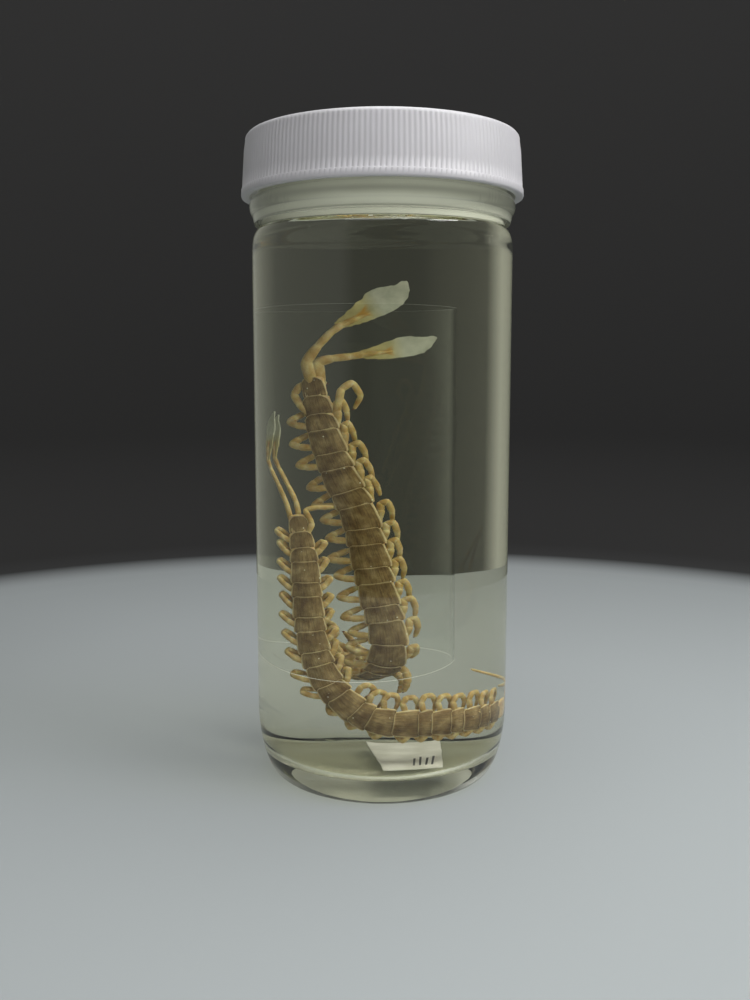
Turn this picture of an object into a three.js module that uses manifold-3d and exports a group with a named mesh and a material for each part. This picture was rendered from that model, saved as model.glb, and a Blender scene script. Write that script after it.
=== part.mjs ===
// Wet preparation of a feather-tail centipede, life size, in its museum jar.
// A clear glass jar with a white screw lid holds two centipedes in an oval sleeve of clear film, with
// a small paper tag on the floor. The main animal hangs tail up with its back to the front. Its front
// end curls away and up behind it. The second animal stands behind its left and lies along the floor.
// Units are millimetres. +Z is up, -Y is the front, and the origin is the middle of the standing ring.

import * as THREE from "three";
import { mergeVertices } from "three/addons/utils/BufferGeometryUtils.js";
import Module from "manifold-3d";

const wasm = await Module();
wasm.setup();

// Driving sizes of the jar
const BODY_RADIUS = 28.7;
const WALL = 2.4;
const FLOOR_LEVEL = 5.0;
const INNER_HEEL = 9.0;
const HEEL_HEIGHT = 16.0;
const HEEL_INSET = 5.2;
const SHOULDER_LEVEL = 117.5;
const NECK_RADIUS = 26.9;
const NECK_LEVEL = 123.6;
const BEAD_RADIUS = 29.1;
const BEAD_LEVEL = 127.4;
const FINISH_RADIUS = 27.3;
const MOUTH_RADIUS = 24.9;
const LIP_LEVEL = 139.6;
const JAR_SEGMENTS = 26;

// Driving sizes of the lid
const LID_RADIUS = 30.85;
const LID_DRAFT = 0.85;
const LID_BOTTOM = 128.9;
const LID_TOP = 142.0;
const LID_WALL = 1.7;
const LID_DECK = 2.1;
const LID_SEGMENTS = 32;

// Driving sizes of the clear sleeve and the tag
const SLEEVE_CENTRE = [-5.6, -1.5];
const SLEEVE_HALF = [17.9, 21.5];
const SLEEVE_FILM = 0.5;
const SLEEVE_BOTTOM = 27.0;
const SLEEVE_TOP = 105.2;
const TAG_SIZE = [11.5, 24.0, 0.5];
const TAG_CENTRE = [4.6, -3.0];
const TAG_TURN = 6.5;
const TAG_CLEARANCE = 0.3;

// Driving sizes of the centipedes
const SEGMENTS = 21;
const SHORT_PLATES = new Set([2, 4, 6, 9, 11, 13, 15, 17, 19]);
const LONG_PLATE = 5.2;
const SHORT_PLATE = 3.5;
const TAIL_PLATE = 3.9;
const FRONT_SHRINK = 0.8;
const FRONT_PLATES = 6;
const HEAD_LENGTH = 4.8;
const MAIN_WIDTH = 7.4;
const SECOND_SCALE = 0.88;
const SECOND_WIDTH = 6.6;
const BODY_FLATNESS = 0.47;
const CUT = 0.3;
const LEG_GAP = 0.2;
const LEAF_THICKNESS = 0.55;
const LEAF_ROOT = 0.8;

const glass = new THREE.MeshStandardMaterial({ color: 0xe4ece6, roughness: 0.05, metalness: 0 });
const lidPlastic = new THREE.MeshStandardMaterial({ color: 0xf1f0f2, roughness: 0.45, metalness: 0 });
const clearFilm = new THREE.MeshStandardMaterial({ color: 0xeef2f0, roughness: 0.1, metalness: 0 });
const tagPaper = new THREE.MeshStandardMaterial({ color: 0xece9df, roughness: 0.9, metalness: 0 });
const plate = new THREE.MeshStandardMaterial({ color: 0x7a6238, roughness: 0.5, metalness: 0 });
const limb = new THREE.MeshStandardMaterial({ color: 0xa98542, roughness: 0.5, metalness: 0 });
const leaf = new THREE.MeshStandardMaterial({ color: 0xb9b48c, roughness: 0.6, metalness: 0 });

const specimen = new THREE.Group();

function addPiece(name, geometry, material) {
  const piece = new THREE.Mesh(geometry, material);
  piece.name = name;
  specimen.add(piece);
  return piece;
}

function welded(geometry) {
  const bare = geometry.clone();
  bare.deleteAttribute("normal");
  bare.deleteAttribute("uv");
  return mergeVertices(bare, 1e-4);
}

function solidOf(geometry) {
  const closed = welded(geometry);
  const vertProperties = Float32Array.from(closed.getAttribute("position").array);
  const triVerts = Uint32Array.from(closed.getIndex().array);
  return new wasm.Manifold(new wasm.Mesh({ numProp: 3, vertProperties, triVerts }));
}

function geometryOf(solid) {
  const mesh = solid.getMesh();
  const geometry = new THREE.BufferGeometry();
  geometry.setAttribute("position", new THREE.BufferAttribute(mesh.vertProperties, 3));
  geometry.setIndex(new THREE.BufferAttribute(mesh.triVerts, 1));
  return geometry;
}

// A profile of radius and height turned about the vertical axis
function turned(profile, segments) {
  const points = profile.map(([radius, height]) => new THREE.Vector2(radius, height));
  const geometry = new THREE.LatheGeometry(points, segments);
  geometry.rotateX(Math.PI / 2);
  return welded(geometry);
}

// Points of a quarter ellipse from its first to its last angle, in degrees
function arc(centreRadius, centreHeight, halfRadius, halfHeight, from, to, steps) {
  const points = [];
  for (let i = 0; i <= steps; i += 1) {
    const angle = THREE.MathUtils.degToRad(from + (to - from) * i / steps);
    points.push([centreRadius + halfRadius * Math.cos(angle), centreHeight + halfHeight * Math.sin(angle)]);
  }
  return points;
}

// A closed body whose rings follow a path: each ring has a centre, two axes and two half sizes
function lofted(sides, rings) {
  const body = welded(new THREE.CylinderGeometry(1, 1, 1, sides, rings.length - 1));
  const position = body.getAttribute("position");
  const point = new THREE.Vector3();
  for (let i = 0; i < position.count; i += 1) {
    point.fromBufferAttribute(position, i);
    const ring = rings[Math.round((0.5 - point.y) * (rings.length - 1))];
    const across = point.x * ring.halfWidth;
    const lift = point.z * (point.z > 0 ? ring.rise : ring.drop);
    const place = ring.centre.clone().addScaledVector(ring.side, across).addScaledVector(ring.back, lift);
    position.setXYZ(i, place.x, place.y, place.z);
  }
  return body;
}

// Rings of a jointed limb: one at each joint, square to the bisector of its two lengths. Their sides
// start square to the plane that the limb bends in, and turn no more than they must
function limbRings(joints, radii) {
  const middle = joints[joints.length >> 1];
  const side = middle.clone().sub(joints[0]).cross(joints[joints.length - 1].clone().sub(middle));
  if (side.length() < 0.1) side.set(0.31, 0.52, 0.79);
  return joints.map((centre, i) => {
    const before = joints[Math.max(i - 1, 0)];
    const after = joints[Math.min(i + 1, joints.length - 1)];
    const along = after.clone().sub(before).normalize();
    side.addScaledVector(along, -side.dot(along)).normalize();
    const back = along.clone().cross(side);
    return { centre, side: side.clone(), back, halfWidth: radii[i], rise: radii[i], drop: radii[i] };
  });
}

// The jar: standing ring, rounded heel, straight wall, shoulder, bead and plain mouth
function jarGeometry() {
  const inner = BODY_RADIUS - WALL;
  const profile = [
    [0, 2.4],
    [17.5, 1.6],
    [20.6, 0],
    [23.2, 0],
    ...arc(BODY_RADIUS - HEEL_INSET, HEEL_HEIGHT, HEEL_INSET, HEEL_HEIGHT - 0.3, -74, 0, 4),
    ...arc(NECK_RADIUS, SHOULDER_LEVEL, BODY_RADIUS - NECK_RADIUS, 4.6, 0, 80, 3),
    [NECK_RADIUS, NECK_LEVEL],
    [BEAD_RADIUS - 0.7, NECK_LEVEL + 2.2],
    [BEAD_RADIUS, BEAD_LEVEL - 0.5],
    [BEAD_RADIUS, BEAD_LEVEL + 0.5],
    [FINISH_RADIUS, BEAD_LEVEL + 1.3],
    [FINISH_RADIUS, LIP_LEVEL - 0.5],
    [FINISH_RADIUS - 0.5, LIP_LEVEL],
    [MOUTH_RADIUS, LIP_LEVEL],
    [MOUTH_RADIUS, NECK_LEVEL + 0.6],
    [inner, SHOULDER_LEVEL],
    ...arc(inner - INNER_HEEL, FLOOR_LEVEL + INNER_HEEL, INNER_HEEL, INNER_HEEL, 0, -90, 5),
    [0, FLOOR_LEVEL],
  ];
  return turned(profile, JAR_SEGMENTS);
}

// The lid: a flat deck with a rounded edge over a skirt that widens a little downwards
function lidGeometry() {
  const topRadius = LID_RADIUS - LID_DRAFT;
  const profile = [
    [0, LID_TOP - LID_DECK],
    [topRadius - LID_WALL, LID_TOP - LID_DECK],
    [LID_RADIUS - LID_WALL - 0.2, LID_BOTTOM],
    [LID_RADIUS - 0.15, LID_BOTTOM],
    [LID_RADIUS, LID_BOTTOM + 0.4],
    [LID_RADIUS - 0.1, LID_BOTTOM + 1.7],
    [topRadius, LID_TOP - 1.1],
    [topRadius - 0.35, LID_TOP - 0.35],
    [topRadius - 1.1, LID_TOP],
    [0, LID_TOP],
  ];
  return turned(profile, LID_SEGMENTS);
}

addPiece("jar", jarGeometry(), glass);
addPiece("lid", lidGeometry(), lidPlastic);

// The sleeve: an oval tube of clear film that springs against the wall of the jar
const sleeveOutline = new THREE.Shape();
sleeveOutline.absellipse(0, 0, SLEEVE_HALF[0], SLEEVE_HALF[1], 0, Math.PI * 2, false);
const sleeveInside = new THREE.Path();
sleeveInside.absellipse(
  0, 0, SLEEVE_HALF[0] - SLEEVE_FILM, SLEEVE_HALF[1] - SLEEVE_FILM, 0, Math.PI * 2, true,
);
sleeveOutline.holes.push(sleeveInside);
const sleeveGeometry = new THREE.ExtrudeGeometry(sleeveOutline, {
  depth: SLEEVE_TOP - SLEEVE_BOTTOM,
  bevelEnabled: false,
  curveSegments: 13,
});
const sleeve = addPiece("film_sleeve", welded(sleeveGeometry), clearFilm);
sleeve.position.set(SLEEVE_CENTRE[0], SLEEVE_CENTRE[1], SLEEVE_BOTTOM);

const tag = addPiece("paper_tag", new THREE.BoxGeometry(...TAG_SIZE), tagPaper);
tag.position.set(TAG_CENTRE[0], TAG_CENTRE[1], FLOOR_LEVEL + TAG_CLEARANCE + TAG_SIZE[2] / 2);
tag.rotation.z = THREE.MathUtils.degToRad(TAG_TURN);

// Length of a back plate, counted from the head: long and short plates alternate, both on 7 and 8
function plateLength(number) {
  if (number >= 20) return TAIL_PLATE;
  const length = SHORT_PLATES.has(number) ? SHORT_PLATE : LONG_PLATE;
  return number <= FRONT_PLATES ? length * FRONT_SHRINK : length;
}

// Width of a segment: a little narrower towards the head and much narrower at the tail
function segmentWidth(number, widest) {
  const front = 1 - 0.30 * Math.exp(-(number - 1) / 5);
  const rear = 1 - 0.38 * Math.exp(-(SEGMENTS - number) / 2.2);
  return widest * front * rear;
}

// A body path from tail to head. Each station is a centre and the way that the back faces there
class BodyPath {
  constructor(stations, scale, widest) {
    const centres = stations.map(([x, y, z]) => new THREE.Vector3(x, y, z));
    const backs = stations.map(([, , , x, y, z]) => new THREE.Vector3(x, y, z));
    this.curve = new THREE.CatmullRomCurve3(centres, false, "centripetal");
    this.backs = new THREE.CatmullRomCurve3(backs, false, "centripetal");
    this.curve.arcLengthDivisions = 600;
    this.length = this.curve.getLength();
    this.scale = scale;
    this.widest = widest;
  }

  frame(distance) {
    const share = THREE.MathUtils.clamp(distance / this.length, 0, 1);
    const centre = this.curve.getPointAt(share);
    const ahead = this.curve.getTangentAt(share);
    const back = this.backs.getPoint(this.curve.getUtoTmapping(share));
    back.addScaledVector(ahead, -back.dot(ahead)).normalize();
    const side = back.clone().cross(ahead).normalize();
    return { centre, ahead, back, side };
  }

  // Where a segment's rear edge lies, as a distance from the tail
  rear(number) {
    let distance = 0;
    for (let n = SEGMENTS; n > number; n -= 1) distance += plateLength(n) * this.scale;
    return distance;
  }

  ring(distance, width, thickness = width * BODY_FLATNESS) {
    const { centre, side, back } = this.frame(distance);
    return { centre, side, back, halfWidth: width / 2, rise: thickness * 0.46, drop: thickness * 0.54 };
  }

  // Rings of one segment: a narrow rear edge, then the sides widen to the front edge
  segmentRings(number) {
    const start = this.rear(number);
    const length = plateLength(number) * this.scale;
    const width = segmentWidth(number, this.widest);
    return [
      this.ring(start + length * 0.04, width * 0.86),
      this.ring(start + length * 0.2, width * 0.96),
      this.ring(start + length * 0.86, width),
    ];
  }

  trunkRings(from, to) {
    const rings = [];
    for (let n = from; n >= to; n -= 1) rings.push(...this.segmentRings(n));
    const last = this.rear(to) + plateLength(to) * this.scale - CUT / 2;
    rings.push(this.ring(last, segmentWidth(to, this.widest) * 0.9));
    rings[0] = this.ring(this.rear(from) + CUT / 2, segmentWidth(from, this.widest) * 0.86);
    return rings;
  }
}

// Joints of a walking leg: out to the knee, then folded back under the body. reach is how far the knee
// stands out, lean how far it lies towards the tail, and tuck how far the foot folds under
function legJoints(path, number, sideSign, { reach, lean, tuck, rootDepth }) {
  const width = segmentWidth(number, path.widest);
  const length = plateLength(number) * path.scale;
  const { centre, ahead, back, side } = path.frame(path.rear(number) + length * 0.6);
  const size = path.widest / MAIN_WIDTH * (0.82 + 0.18 * width / path.widest);
  const at = (out, toTail, under) => centre.clone()
    .addScaledVector(side, sideSign * out)
    .addScaledVector(ahead, -toTail)
    .addScaledVector(back, -under);
  const root = width / 2 - rootDepth;
  return [
    at(root, 0, 0.3),
    at(root + 0.55 * reach * size, 0.4 * lean, 0.05),
    at(root + reach * size, lean, 0.55),
    at(root + 0.62 * reach * size, lean + 0.95, 1.5 * tuck),
    at(root + 0.2 * reach * size, lean + 0.9, 2.2 * tuck),
    at(root - 0.1, lean + 0.5, 2.9 * tuck),
  ];
}

const LEG_RADII = [0.62, 0.66, 0.54, 0.42, 0.33, 0.25];

// The right legs stand out and the left ones lie back along the flank, more so towards the tail and
// less at the head. No two fold quite alike, so reach and lean waver along the row
function legPose(number, sideSign, rootDepth) {
  const waver = Math.sin(number * 2.3 + sideSign);
  const drift = Math.cos(number * 1.7 - sideSign * 0.8);
  const atTail = Math.exp((number - SEGMENTS + 1) / 4);
  const atHead = Math.exp((1 - number) / 3);
  const tuck = 1 + 0.08 * drift;
  if (sideSign > 0) {
    const reach = 1.9 + 0.25 * waver + 0.8 * atTail;
    return { reach, lean: 2.1 + 0.2 * drift + 1.6 * atTail - 0.9 * atHead, tuck, rootDepth };
  }
  const reach = 3.5 + 0.4 * waver;
  return { reach, lean: 1.0 + 0.2 * drift + 1.4 * atTail ** 3, tuck, rootDepth };
}

const MAIN_STATIONS = [
  [-12.0, -4.6, 90.0, -0.50, -0.87, 0.0],
  [-11.0, -5.0, 83.5, -0.50, -0.87, 0.0],
  [-9.3, -5.3, 76.0, -0.47, -0.88, 0.0],
  [-7.0, -5.4, 68.6, -0.42, -0.91, 0.0],
  [-4.0, -5.4, 61.0, -0.36, -0.93, 0.0],
  [-2.2, -5.4, 52.0, -0.28, -0.96, 0.0],
  [-0.6, -5.4, 43.0, -0.20, -0.98, 0.0],
  [1.0, -5.4, 34.8, -0.12, -0.99, -0.05],
  [1.1, -4.9, 30.6, -0.08, -0.96, -0.25],
  [0.4, -2.6, 26.6, 0.02, -0.80, -0.60],
  [-0.8, 0.6, 24.2, 0.08, -0.40, -0.92],
  [-2.7, 3.9, 23.2, 0.05, 0.10, -0.99],
  [-5.2, 7.2, 23.8, -0.10, 0.50, -0.85],
  [-7.9, 9.8, 26.4, -0.25, 0.80, -0.54],
  [-9.7, 10.9, 30.6, -0.36, 0.92, -0.15],
  [-10.9, 11.0, 36.2, -0.38, 0.92, 0.10],
];
const main = new BodyPath(MAIN_STATIONS, 1, MAIN_WIDTH);

// The trunk in six lengths, cut between segments, counted from the head
const TRUNK_LENGTHS = [[3, 1], [6, 4], [10, 7], [14, 11], [18, 15], [21, 19]];
TRUNK_LENGTHS.forEach(([from, to], i) => {
  addPiece(`trunk_${i + 1}`, lofted(10, main.trunkRings(from, to)), plate);
});

// The head: a rounded shield with the two venom claws curved beneath it
function headGeometry(path) {
  const start = path.rear(1) + plateLength(1) * path.scale + CUT / 2;
  const width = path.widest * 0.72;
  const length = HEAD_LENGTH * path.scale;
  const outline = [[0, 0.74], [0.18, 0.9], [0.42, 1], [0.66, 0.95], [0.85, 0.72], [0.97, 0.4]];
  const shield = outline.map(([share, wide]) => (
    path.ring(start + length * share, width * wide, width * (0.34 + 0.16 * wide))
  ));
  let head = solidOf(lofted(12, shield));
  for (const sideSign of [-1, 1]) {
    const { centre, ahead, back, side } = path.frame(start + length * 0.3);
    const at = (out, forward, under) => centre.clone()
      .addScaledVector(side, sideSign * out * path.scale)
      .addScaledVector(ahead, forward * path.scale)
      .addScaledVector(back, -under * path.scale);
    const joints = [
      at(1.3, -1.0, 1.1), at(2.3, 0.4, 1.5), at(2.2, 1.9, 1.7), at(1.3, 3.0, 1.8), at(0.4, 3.5, 1.8),
    ];
    head = head.add(solidOf(lofted(6, limbRings(joints, [0.95, 0.95, 0.75, 0.5, 0.25]))));
  }
  return geometryOf(head);
}
addPiece("head", headGeometry(main), limb);

// A slender tapering limb through points, such as an antenna
function taper(points, base, tip, sides, steps) {
  const joints = new THREE.CatmullRomCurve3(points, false, "centripetal").getSpacedPoints(steps);
  const radii = joints.map((_, i) => base + (tip - base) * i / steps);
  return lofted(sides, limbRings(joints, radii));
}

function places(list) {
  return list.map((p) => new THREE.Vector3(...p));
}

const ANTENNA_BASE = 0.5;
const ANTENNA_TIP = 0.26;
const ANTENNA_SPREAD = 0.85;
const ANTENNA_ROUTES = {
  left: [[-9.3, 9.6, 39.6], [-10.4, 9.9, 43.4], [-11.2, 11.2, 47.2], [-11.6, 12.6, 51.0]],
  right: [[-12.6, 8.9, 38.6], [-13.6, 9.0, 42.0], [-13.6, 10.0, 46.0], [-13.0, 11.8, 49.5]],
};
for (const [sideName, sideSign] of [["left", 1], ["right", -1]]) {
  const tip = main.frame(main.rear(1) + plateLength(1) + CUT / 2 + HEAD_LENGTH);
  const root = tip.centre.clone().addScaledVector(tip.side, sideSign * ANTENNA_SPREAD);
  const points = [
    root.clone().addScaledVector(tip.ahead, 0.15),
    root.clone().addScaledVector(tip.ahead, 1.6),
    ...places(ANTENNA_ROUTES[sideName]),
  ];
  addPiece(`antenna_${sideName}`, taper(points, ANTENNA_BASE, ANTENNA_TIP, 6, 7), limb);
}

// Four legs lie otherwise than the rest: the last left one is raised and arched over outwards, the last
// right one hugs the tail, and two under the bend of the body hang down at its left
const ODD_LEGS = {
  leg_left_20: [
    [-7.55, -6.4, 82.6], [-7.6, -6.7, 85.2], [-7.2, -6.6, 87.6],
    [-5.4, -6.2, 89.2], [-3.7, -5.7, 86.3], [-4.6, -5.2, 83.9],
  ],
  leg_right_20: [
    [-13.6, -3.5, 82.9], [-14.5, -3.1, 84.7], [-15.3, -3.0, 86.6],
    [-14.1, -2.5, 88.6], [-12.0, -2.2, 89.5], [-9.4, -2.2, 89.1],
  ],
  leg_left_06: [
    [3.75, -1.9, 25.9], [4.4, -2.3, 24.9], [4.6, -2.6, 23.7],
    [4.5, -2.7, 22.5], [4.2, -2.7, 21.4], [3.9, -2.6, 20.4],
  ],
  leg_left_05: [
    [2.6, 0.9, 24.0], [3.3, 0.5, 23.3], [3.7, 0.0, 22.4],
    [3.7, -0.4, 21.4], [3.4, -0.7, 20.5], [3.0, -0.8, 19.8],
  ],
};

for (const [sideName, sideSign] of [["left", 1], ["right", -1]]) {
  for (let n = 1; n < SEGMENTS; n += 1) {
    const name = `leg_${sideName}_${String(n).padStart(2, "0")}`;
    const joints = name in ODD_LEGS
      ? places(ODD_LEGS[name])
      : legJoints(main, n, sideSign, legPose(n, sideSign, -LEG_GAP));
    addPiece(name, lofted(5, limbRings(joints, LEG_RADII)), limb);
  }
}

// Outline of the leaf at the end of an ultimate leg, along x from its root to its tip
function leafOutline(length, breadth) {
  const outline = new THREE.Shape();
  const at = (along, up) => [along * length, up * breadth];
  outline.moveTo(...at(0, -0.11));
  outline.bezierCurveTo(...at(0.2, -0.32), ...at(0.5, -0.43), ...at(0.75, -0.37));
  outline.bezierCurveTo(...at(0.91, -0.28), ...at(0.97, 0.1), ...at(1, 0.48));
  outline.bezierCurveTo(...at(0.81, 0.48), ...at(0.68, 0.68), ...at(0.5, 0.62));
  outline.bezierCurveTo(...at(0.34, 0.54), ...at(0.16, 0.26), ...at(0, 0.11));
  return outline;
}

// An ultimate leg: three stout lengths, then a thin leaf whose flat side faces a given way
function ultimateLeg({ joints, radii, leafTip, leafUp, breadth, sides }) {
  const points = places(joints);
  const root = points[points.length - 1];
  const along = new THREE.Vector3(...leafTip).sub(root);
  const length = along.length() + LEAF_ROOT;
  along.normalize();
  const up = new THREE.Vector3(...leafUp);
  up.addScaledVector(along, -up.dot(along)).normalize();
  const face = along.clone().cross(up);
  const blade = new THREE.ExtrudeGeometry(leafOutline(length, breadth), {
    depth: LEAF_THICKNESS,
    bevelEnabled: false,
    curveSegments: 4,
  });
  blade.translate(-LEAF_ROOT, 0, -LEAF_THICKNESS / 2);
  blade.applyMatrix4(new THREE.Matrix4().makeBasis(along, up, face).setPosition(root));
  const rib = root.clone().addScaledVector(along, length * 0.4);
  const stem = lofted(sides, limbRings([...points, rib], [...radii, 0.3]));
  return solidOf(stem).add(solidOf(blade));
}

const ULTIMATE_RADII = [0.85, 0.95, 0.62, 0.62, 0.7];
addPiece("ultimate_leg_right", geometryOf(ultimateLeg({
  joints: [
    [-12.3, -5.2, 90.4], [-13.5, -6.2, 94.0], [-11.3, -6.5, 96.9], [-9.0, -6.7, 99.8], [-7.2, -6.8, 101.4],
  ],
  radii: ULTIMATE_RADII,
  leafTip: [5.6, -6.4, 107.6],
  leafUp: [-0.5, -0.1, 0.85],
  breadth: 6.2,
  sides: 6,
})), leaf);
addPiece("ultimate_leg_left", geometryOf(ultimateLeg({
  joints: [
    [-9.9, -3.9, 90.4], [-11.2, -4.6, 93.8], [-8.6, -5.0, 94.4], [-5.5, -5.3, 94.8], [-3.4, -5.3, 95.2],
  ],
  radii: ULTIMATE_RADII,
  leafTip: [9.5, -5.2, 96.9],
  leafUp: [-0.15, 0.35, 0.93],
  breadth: 4.4,
  sides: 6,
})), leaf);

// The second animal, plainer, as one solid
const SECOND_STATIONS = [
  [-15.9, -10.9, 60.6, 0.0, -1.0, 0.0],
  [-14.7, -11.2, 52.0, 0.0, -1.0, 0.0],
  [-14.1, -11.3, 43.0, 0.0, -1.0, 0.0],
  [-13.3, -11.4, 34.5, 0.0, -1.0, 0.0],
  [-12.0, -11.5, 28.9, 0.0, -1.0, 0.0],
  [-9.8, -11.7, 23.9, 0.0, -1.0, -0.1],
  [-6.6, -11.8, 19.9, 0.0, -1.0, -0.1],
  [-2.8, -11.9, 16.9, 0.0, -1.0, -0.1],
  [1.8, -11.9, 15.5, 0.0, -1.0, 0.0],
  [7.0, -11.7, 15.3, 0.05, -1.0, 0.0],
  [11.4, -10.9, 15.2, 0.2, -0.98, 0.0],
  [15.2, -9.5, 15.1, 0.4, -0.92, 0.0],
  [18.6, -7.0, 14.8, 0.6, -0.8, 0.0],
  [20.8, -3.8, 14.5, 0.8, -0.6, 0.0],
  [22.0, -0.6, 14.4, 0.95, -0.3, 0.0],
  [22.3, 2.4, 14.3, 1.0, 0.0, 0.0],
];
const SECOND_ANTENNAE = [
  [[22.0, 0.4, 14.8], [22.4, 2.6, 16.8], [21.3, 4.4, 18.9], [18.2, 4.8, 21.2], [14.6, 4.4, 23.4]],
  [[22.0, 0.4, 13.8], [21.6, 5.0, 13.4], [19.2, 9.4, 14.6], [16.2, 12.8, 16.6]],
];
const SECOND_ULTIMATE_RADII = [0.6, 0.55, 0.5, 0.45, 0.45];
// Its last left leg reaches up and across towards the main animal
const SECOND_REACHING_LEG = [
  [-14.4, -11.2, 56.0], [-12.9, -11.3, 58.8], [-14.4, -11.2, 62.6], [-8.9, -10.2, 62.8],
];
const second = new BodyPath(SECOND_STATIONS, SECOND_SCALE, SECOND_WIDTH);

// Its front half lies on its right side, so the left legs stand up there and the right ones are pressed
const SECOND_LYING_FROM = 10;
function secondLegPose(number, sideSign) {
  const pose = legPose(number, sideSign, 0.5);
  const lies = number <= SECOND_LYING_FROM;
  if (sideSign > 0) {
    pose.reach = lies ? pose.reach + 2.2 : pose.reach + 0.2;
    pose.lean = lies ? pose.lean - 0.9 : pose.lean;
  } else {
    pose.reach = lies ? 1.6 : pose.reach - 0.7;
    pose.lean += lies ? 0.2 : 1.3;
  }
  return pose;
}

function secondGeometry() {
  const rings = second.trunkRings(SEGMENTS, 1);
  const start = second.rear(1) + plateLength(1) * second.scale;
  const length = HEAD_LENGTH * second.scale;
  for (const [share, wide] of [[0.1, 0.66], [0.45, 0.74], [0.75, 0.62], [0.95, 0.3]]) {
    rings.push(second.ring(start + length * share, second.widest * wide));
  }
  let whole = solidOf(lofted(8, rings.filter((_, i) => i % 3 !== 1 || i > 3 * SEGMENTS)));
  for (const sideSign of [-1, 1]) {
    for (let n = 1; n < SEGMENTS; n += 1) {
      const joints = legJoints(second, n, sideSign, secondLegPose(n, sideSign));
      const reaches = n === SEGMENTS - 1 && sideSign > 0;
      const plain = reaches
        ? places(SECOND_REACHING_LEG)
        : [joints[0], joints[2], joints[3], joints[5]];
      whole = whole.add(solidOf(lofted(4, limbRings(plain, [0.6, 0.5, 0.4, 0.25]))));
    }
  }
  for (const route of SECOND_ANTENNAE) {
    whole = whole.add(solidOf(taper(places(route), 0.42, 0.25, 4, 5)));
  }
  whole = whole.add(ultimateLeg({
    joints: [
      [-16.9, -10.6, 59.6], [-17.9, -9.8, 63.4], [-19.2, -8.2, 66.8],
      [-20.6, -6.0, 70.4], [-21.0, -4.8, 72.4],
    ],
    radii: SECOND_ULTIMATE_RADII,
    leafTip: [-19.6, -2.6, 82.6],
    leafUp: [0.25, -0.9, 0.1],
    breadth: 3.4,
    sides: 4,
  }));
  whole = whole.add(ultimateLeg({
    joints: [
      [-15.1, -10.6, 59.6], [-15.8, -9.8, 63.6], [-17.0, -8.0, 66.6],
      [-18.6, -5.4, 70.6], [-19.2, -4.0, 72.6],
    ],
    radii: SECOND_ULTIMATE_RADII,
    leafTip: [-18.4, -0.6, 81.6],
    leafUp: [0.3, -0.9, 0.1],
    breadth: 3.2,
    sides: 4,
  }));
  return geometryOf(whole);
}
addPiece("companion_centipede", secondGeometry(), limb);

export default specimen;
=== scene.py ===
# Two feather-tail centipedes preserved in fluid, in a clear glass jar with a white ribbed screw lid.
# Metres, +Z up, -Y towards the viewer; the sizes written here are in millimetres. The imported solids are
# the frame, and each one is replaced by a finer piece of the same size in the same place.

import math

import bpy
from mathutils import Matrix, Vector, noise


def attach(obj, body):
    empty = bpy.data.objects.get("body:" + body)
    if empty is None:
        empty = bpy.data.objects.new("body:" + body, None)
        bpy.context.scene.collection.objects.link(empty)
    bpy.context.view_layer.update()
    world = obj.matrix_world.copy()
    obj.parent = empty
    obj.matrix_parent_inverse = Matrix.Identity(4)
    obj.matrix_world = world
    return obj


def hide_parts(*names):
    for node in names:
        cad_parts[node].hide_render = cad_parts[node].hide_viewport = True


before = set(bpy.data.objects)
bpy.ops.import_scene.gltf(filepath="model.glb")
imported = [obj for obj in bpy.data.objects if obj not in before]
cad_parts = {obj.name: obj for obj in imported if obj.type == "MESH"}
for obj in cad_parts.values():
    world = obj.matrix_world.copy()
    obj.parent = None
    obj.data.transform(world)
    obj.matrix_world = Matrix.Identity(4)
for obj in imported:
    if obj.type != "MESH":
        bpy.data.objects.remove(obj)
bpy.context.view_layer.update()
MM = 0.001


# The jar: pressed clear soda glass with a thick base, a rounded heel, a short neck with a carrying ring
# and a plain finish with one turn of thread under the lid. It is one piece, turned up ring by ring.
def primitive(kind, name, **settings):
    """A new mesh primitive, selected on its own."""
    bpy.ops.object.select_all(action="DESELECT")
    getattr(bpy.ops.mesh, f"primitive_{kind}_add")(**settings)
    piece = bpy.context.object
    piece.name = piece.data.name = name
    return piece


def edit_all():
    bpy.ops.object.mode_set(mode="EDIT")
    bpy.ops.mesh.select_all(action="SELECT")


def close_up():
    """Turns all faces of the mesh outwards and leaves edit mode."""
    bpy.ops.mesh.select_all(action="SELECT")
    bpy.ops.mesh.normals_make_consistent(inside=False)
    bpy.ops.object.mode_set(mode="OBJECT")


def turned(name, profile, sides, unit=MM):
    """A vessel of revolution: a disc at the first radius and height, drawn on through all the others."""
    radius, height = profile[0]
    piece = primitive("circle", name, vertices=sides, radius=radius * unit, fill_type="NGON")
    edit_all()
    bpy.ops.transform.translate(value=(0, 0, height * unit))
    for next_radius, next_height in profile[1:]:
        rise = (0, 0, (next_height - height) * unit)
        bpy.ops.mesh.extrude_region_move(TRANSFORM_OT_translate={"value": rise})
        growth = next_radius / radius
        bpy.ops.transform.resize(value=(growth, growth, 1))
        radius, height = next_radius, next_height
    close_up()
    return piece


def arc(centre_radius, centre_height, half_radius, half_height, first, last, steps):
    """Points of an elliptic arc in a profile, with its angles in degrees."""
    points = []
    for i in range(steps + 1):
        angle = math.radians(first + (last - first) * i / steps)
        along = centre_radius + half_radius * math.cos(angle)
        points.append((along, centre_height + half_height * math.sin(angle)))
    return points


def alone(piece):
    """Selects a piece on its own and makes it the active one."""
    bpy.ops.object.select_all(action="DESELECT")
    piece.select_set(True)
    bpy.context.view_layer.objects.active = piece


def smoothed(piece, degrees):
    alone(piece)
    bpy.ops.object.shade_smooth_by_angle(angle=math.radians(degrees))


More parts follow.
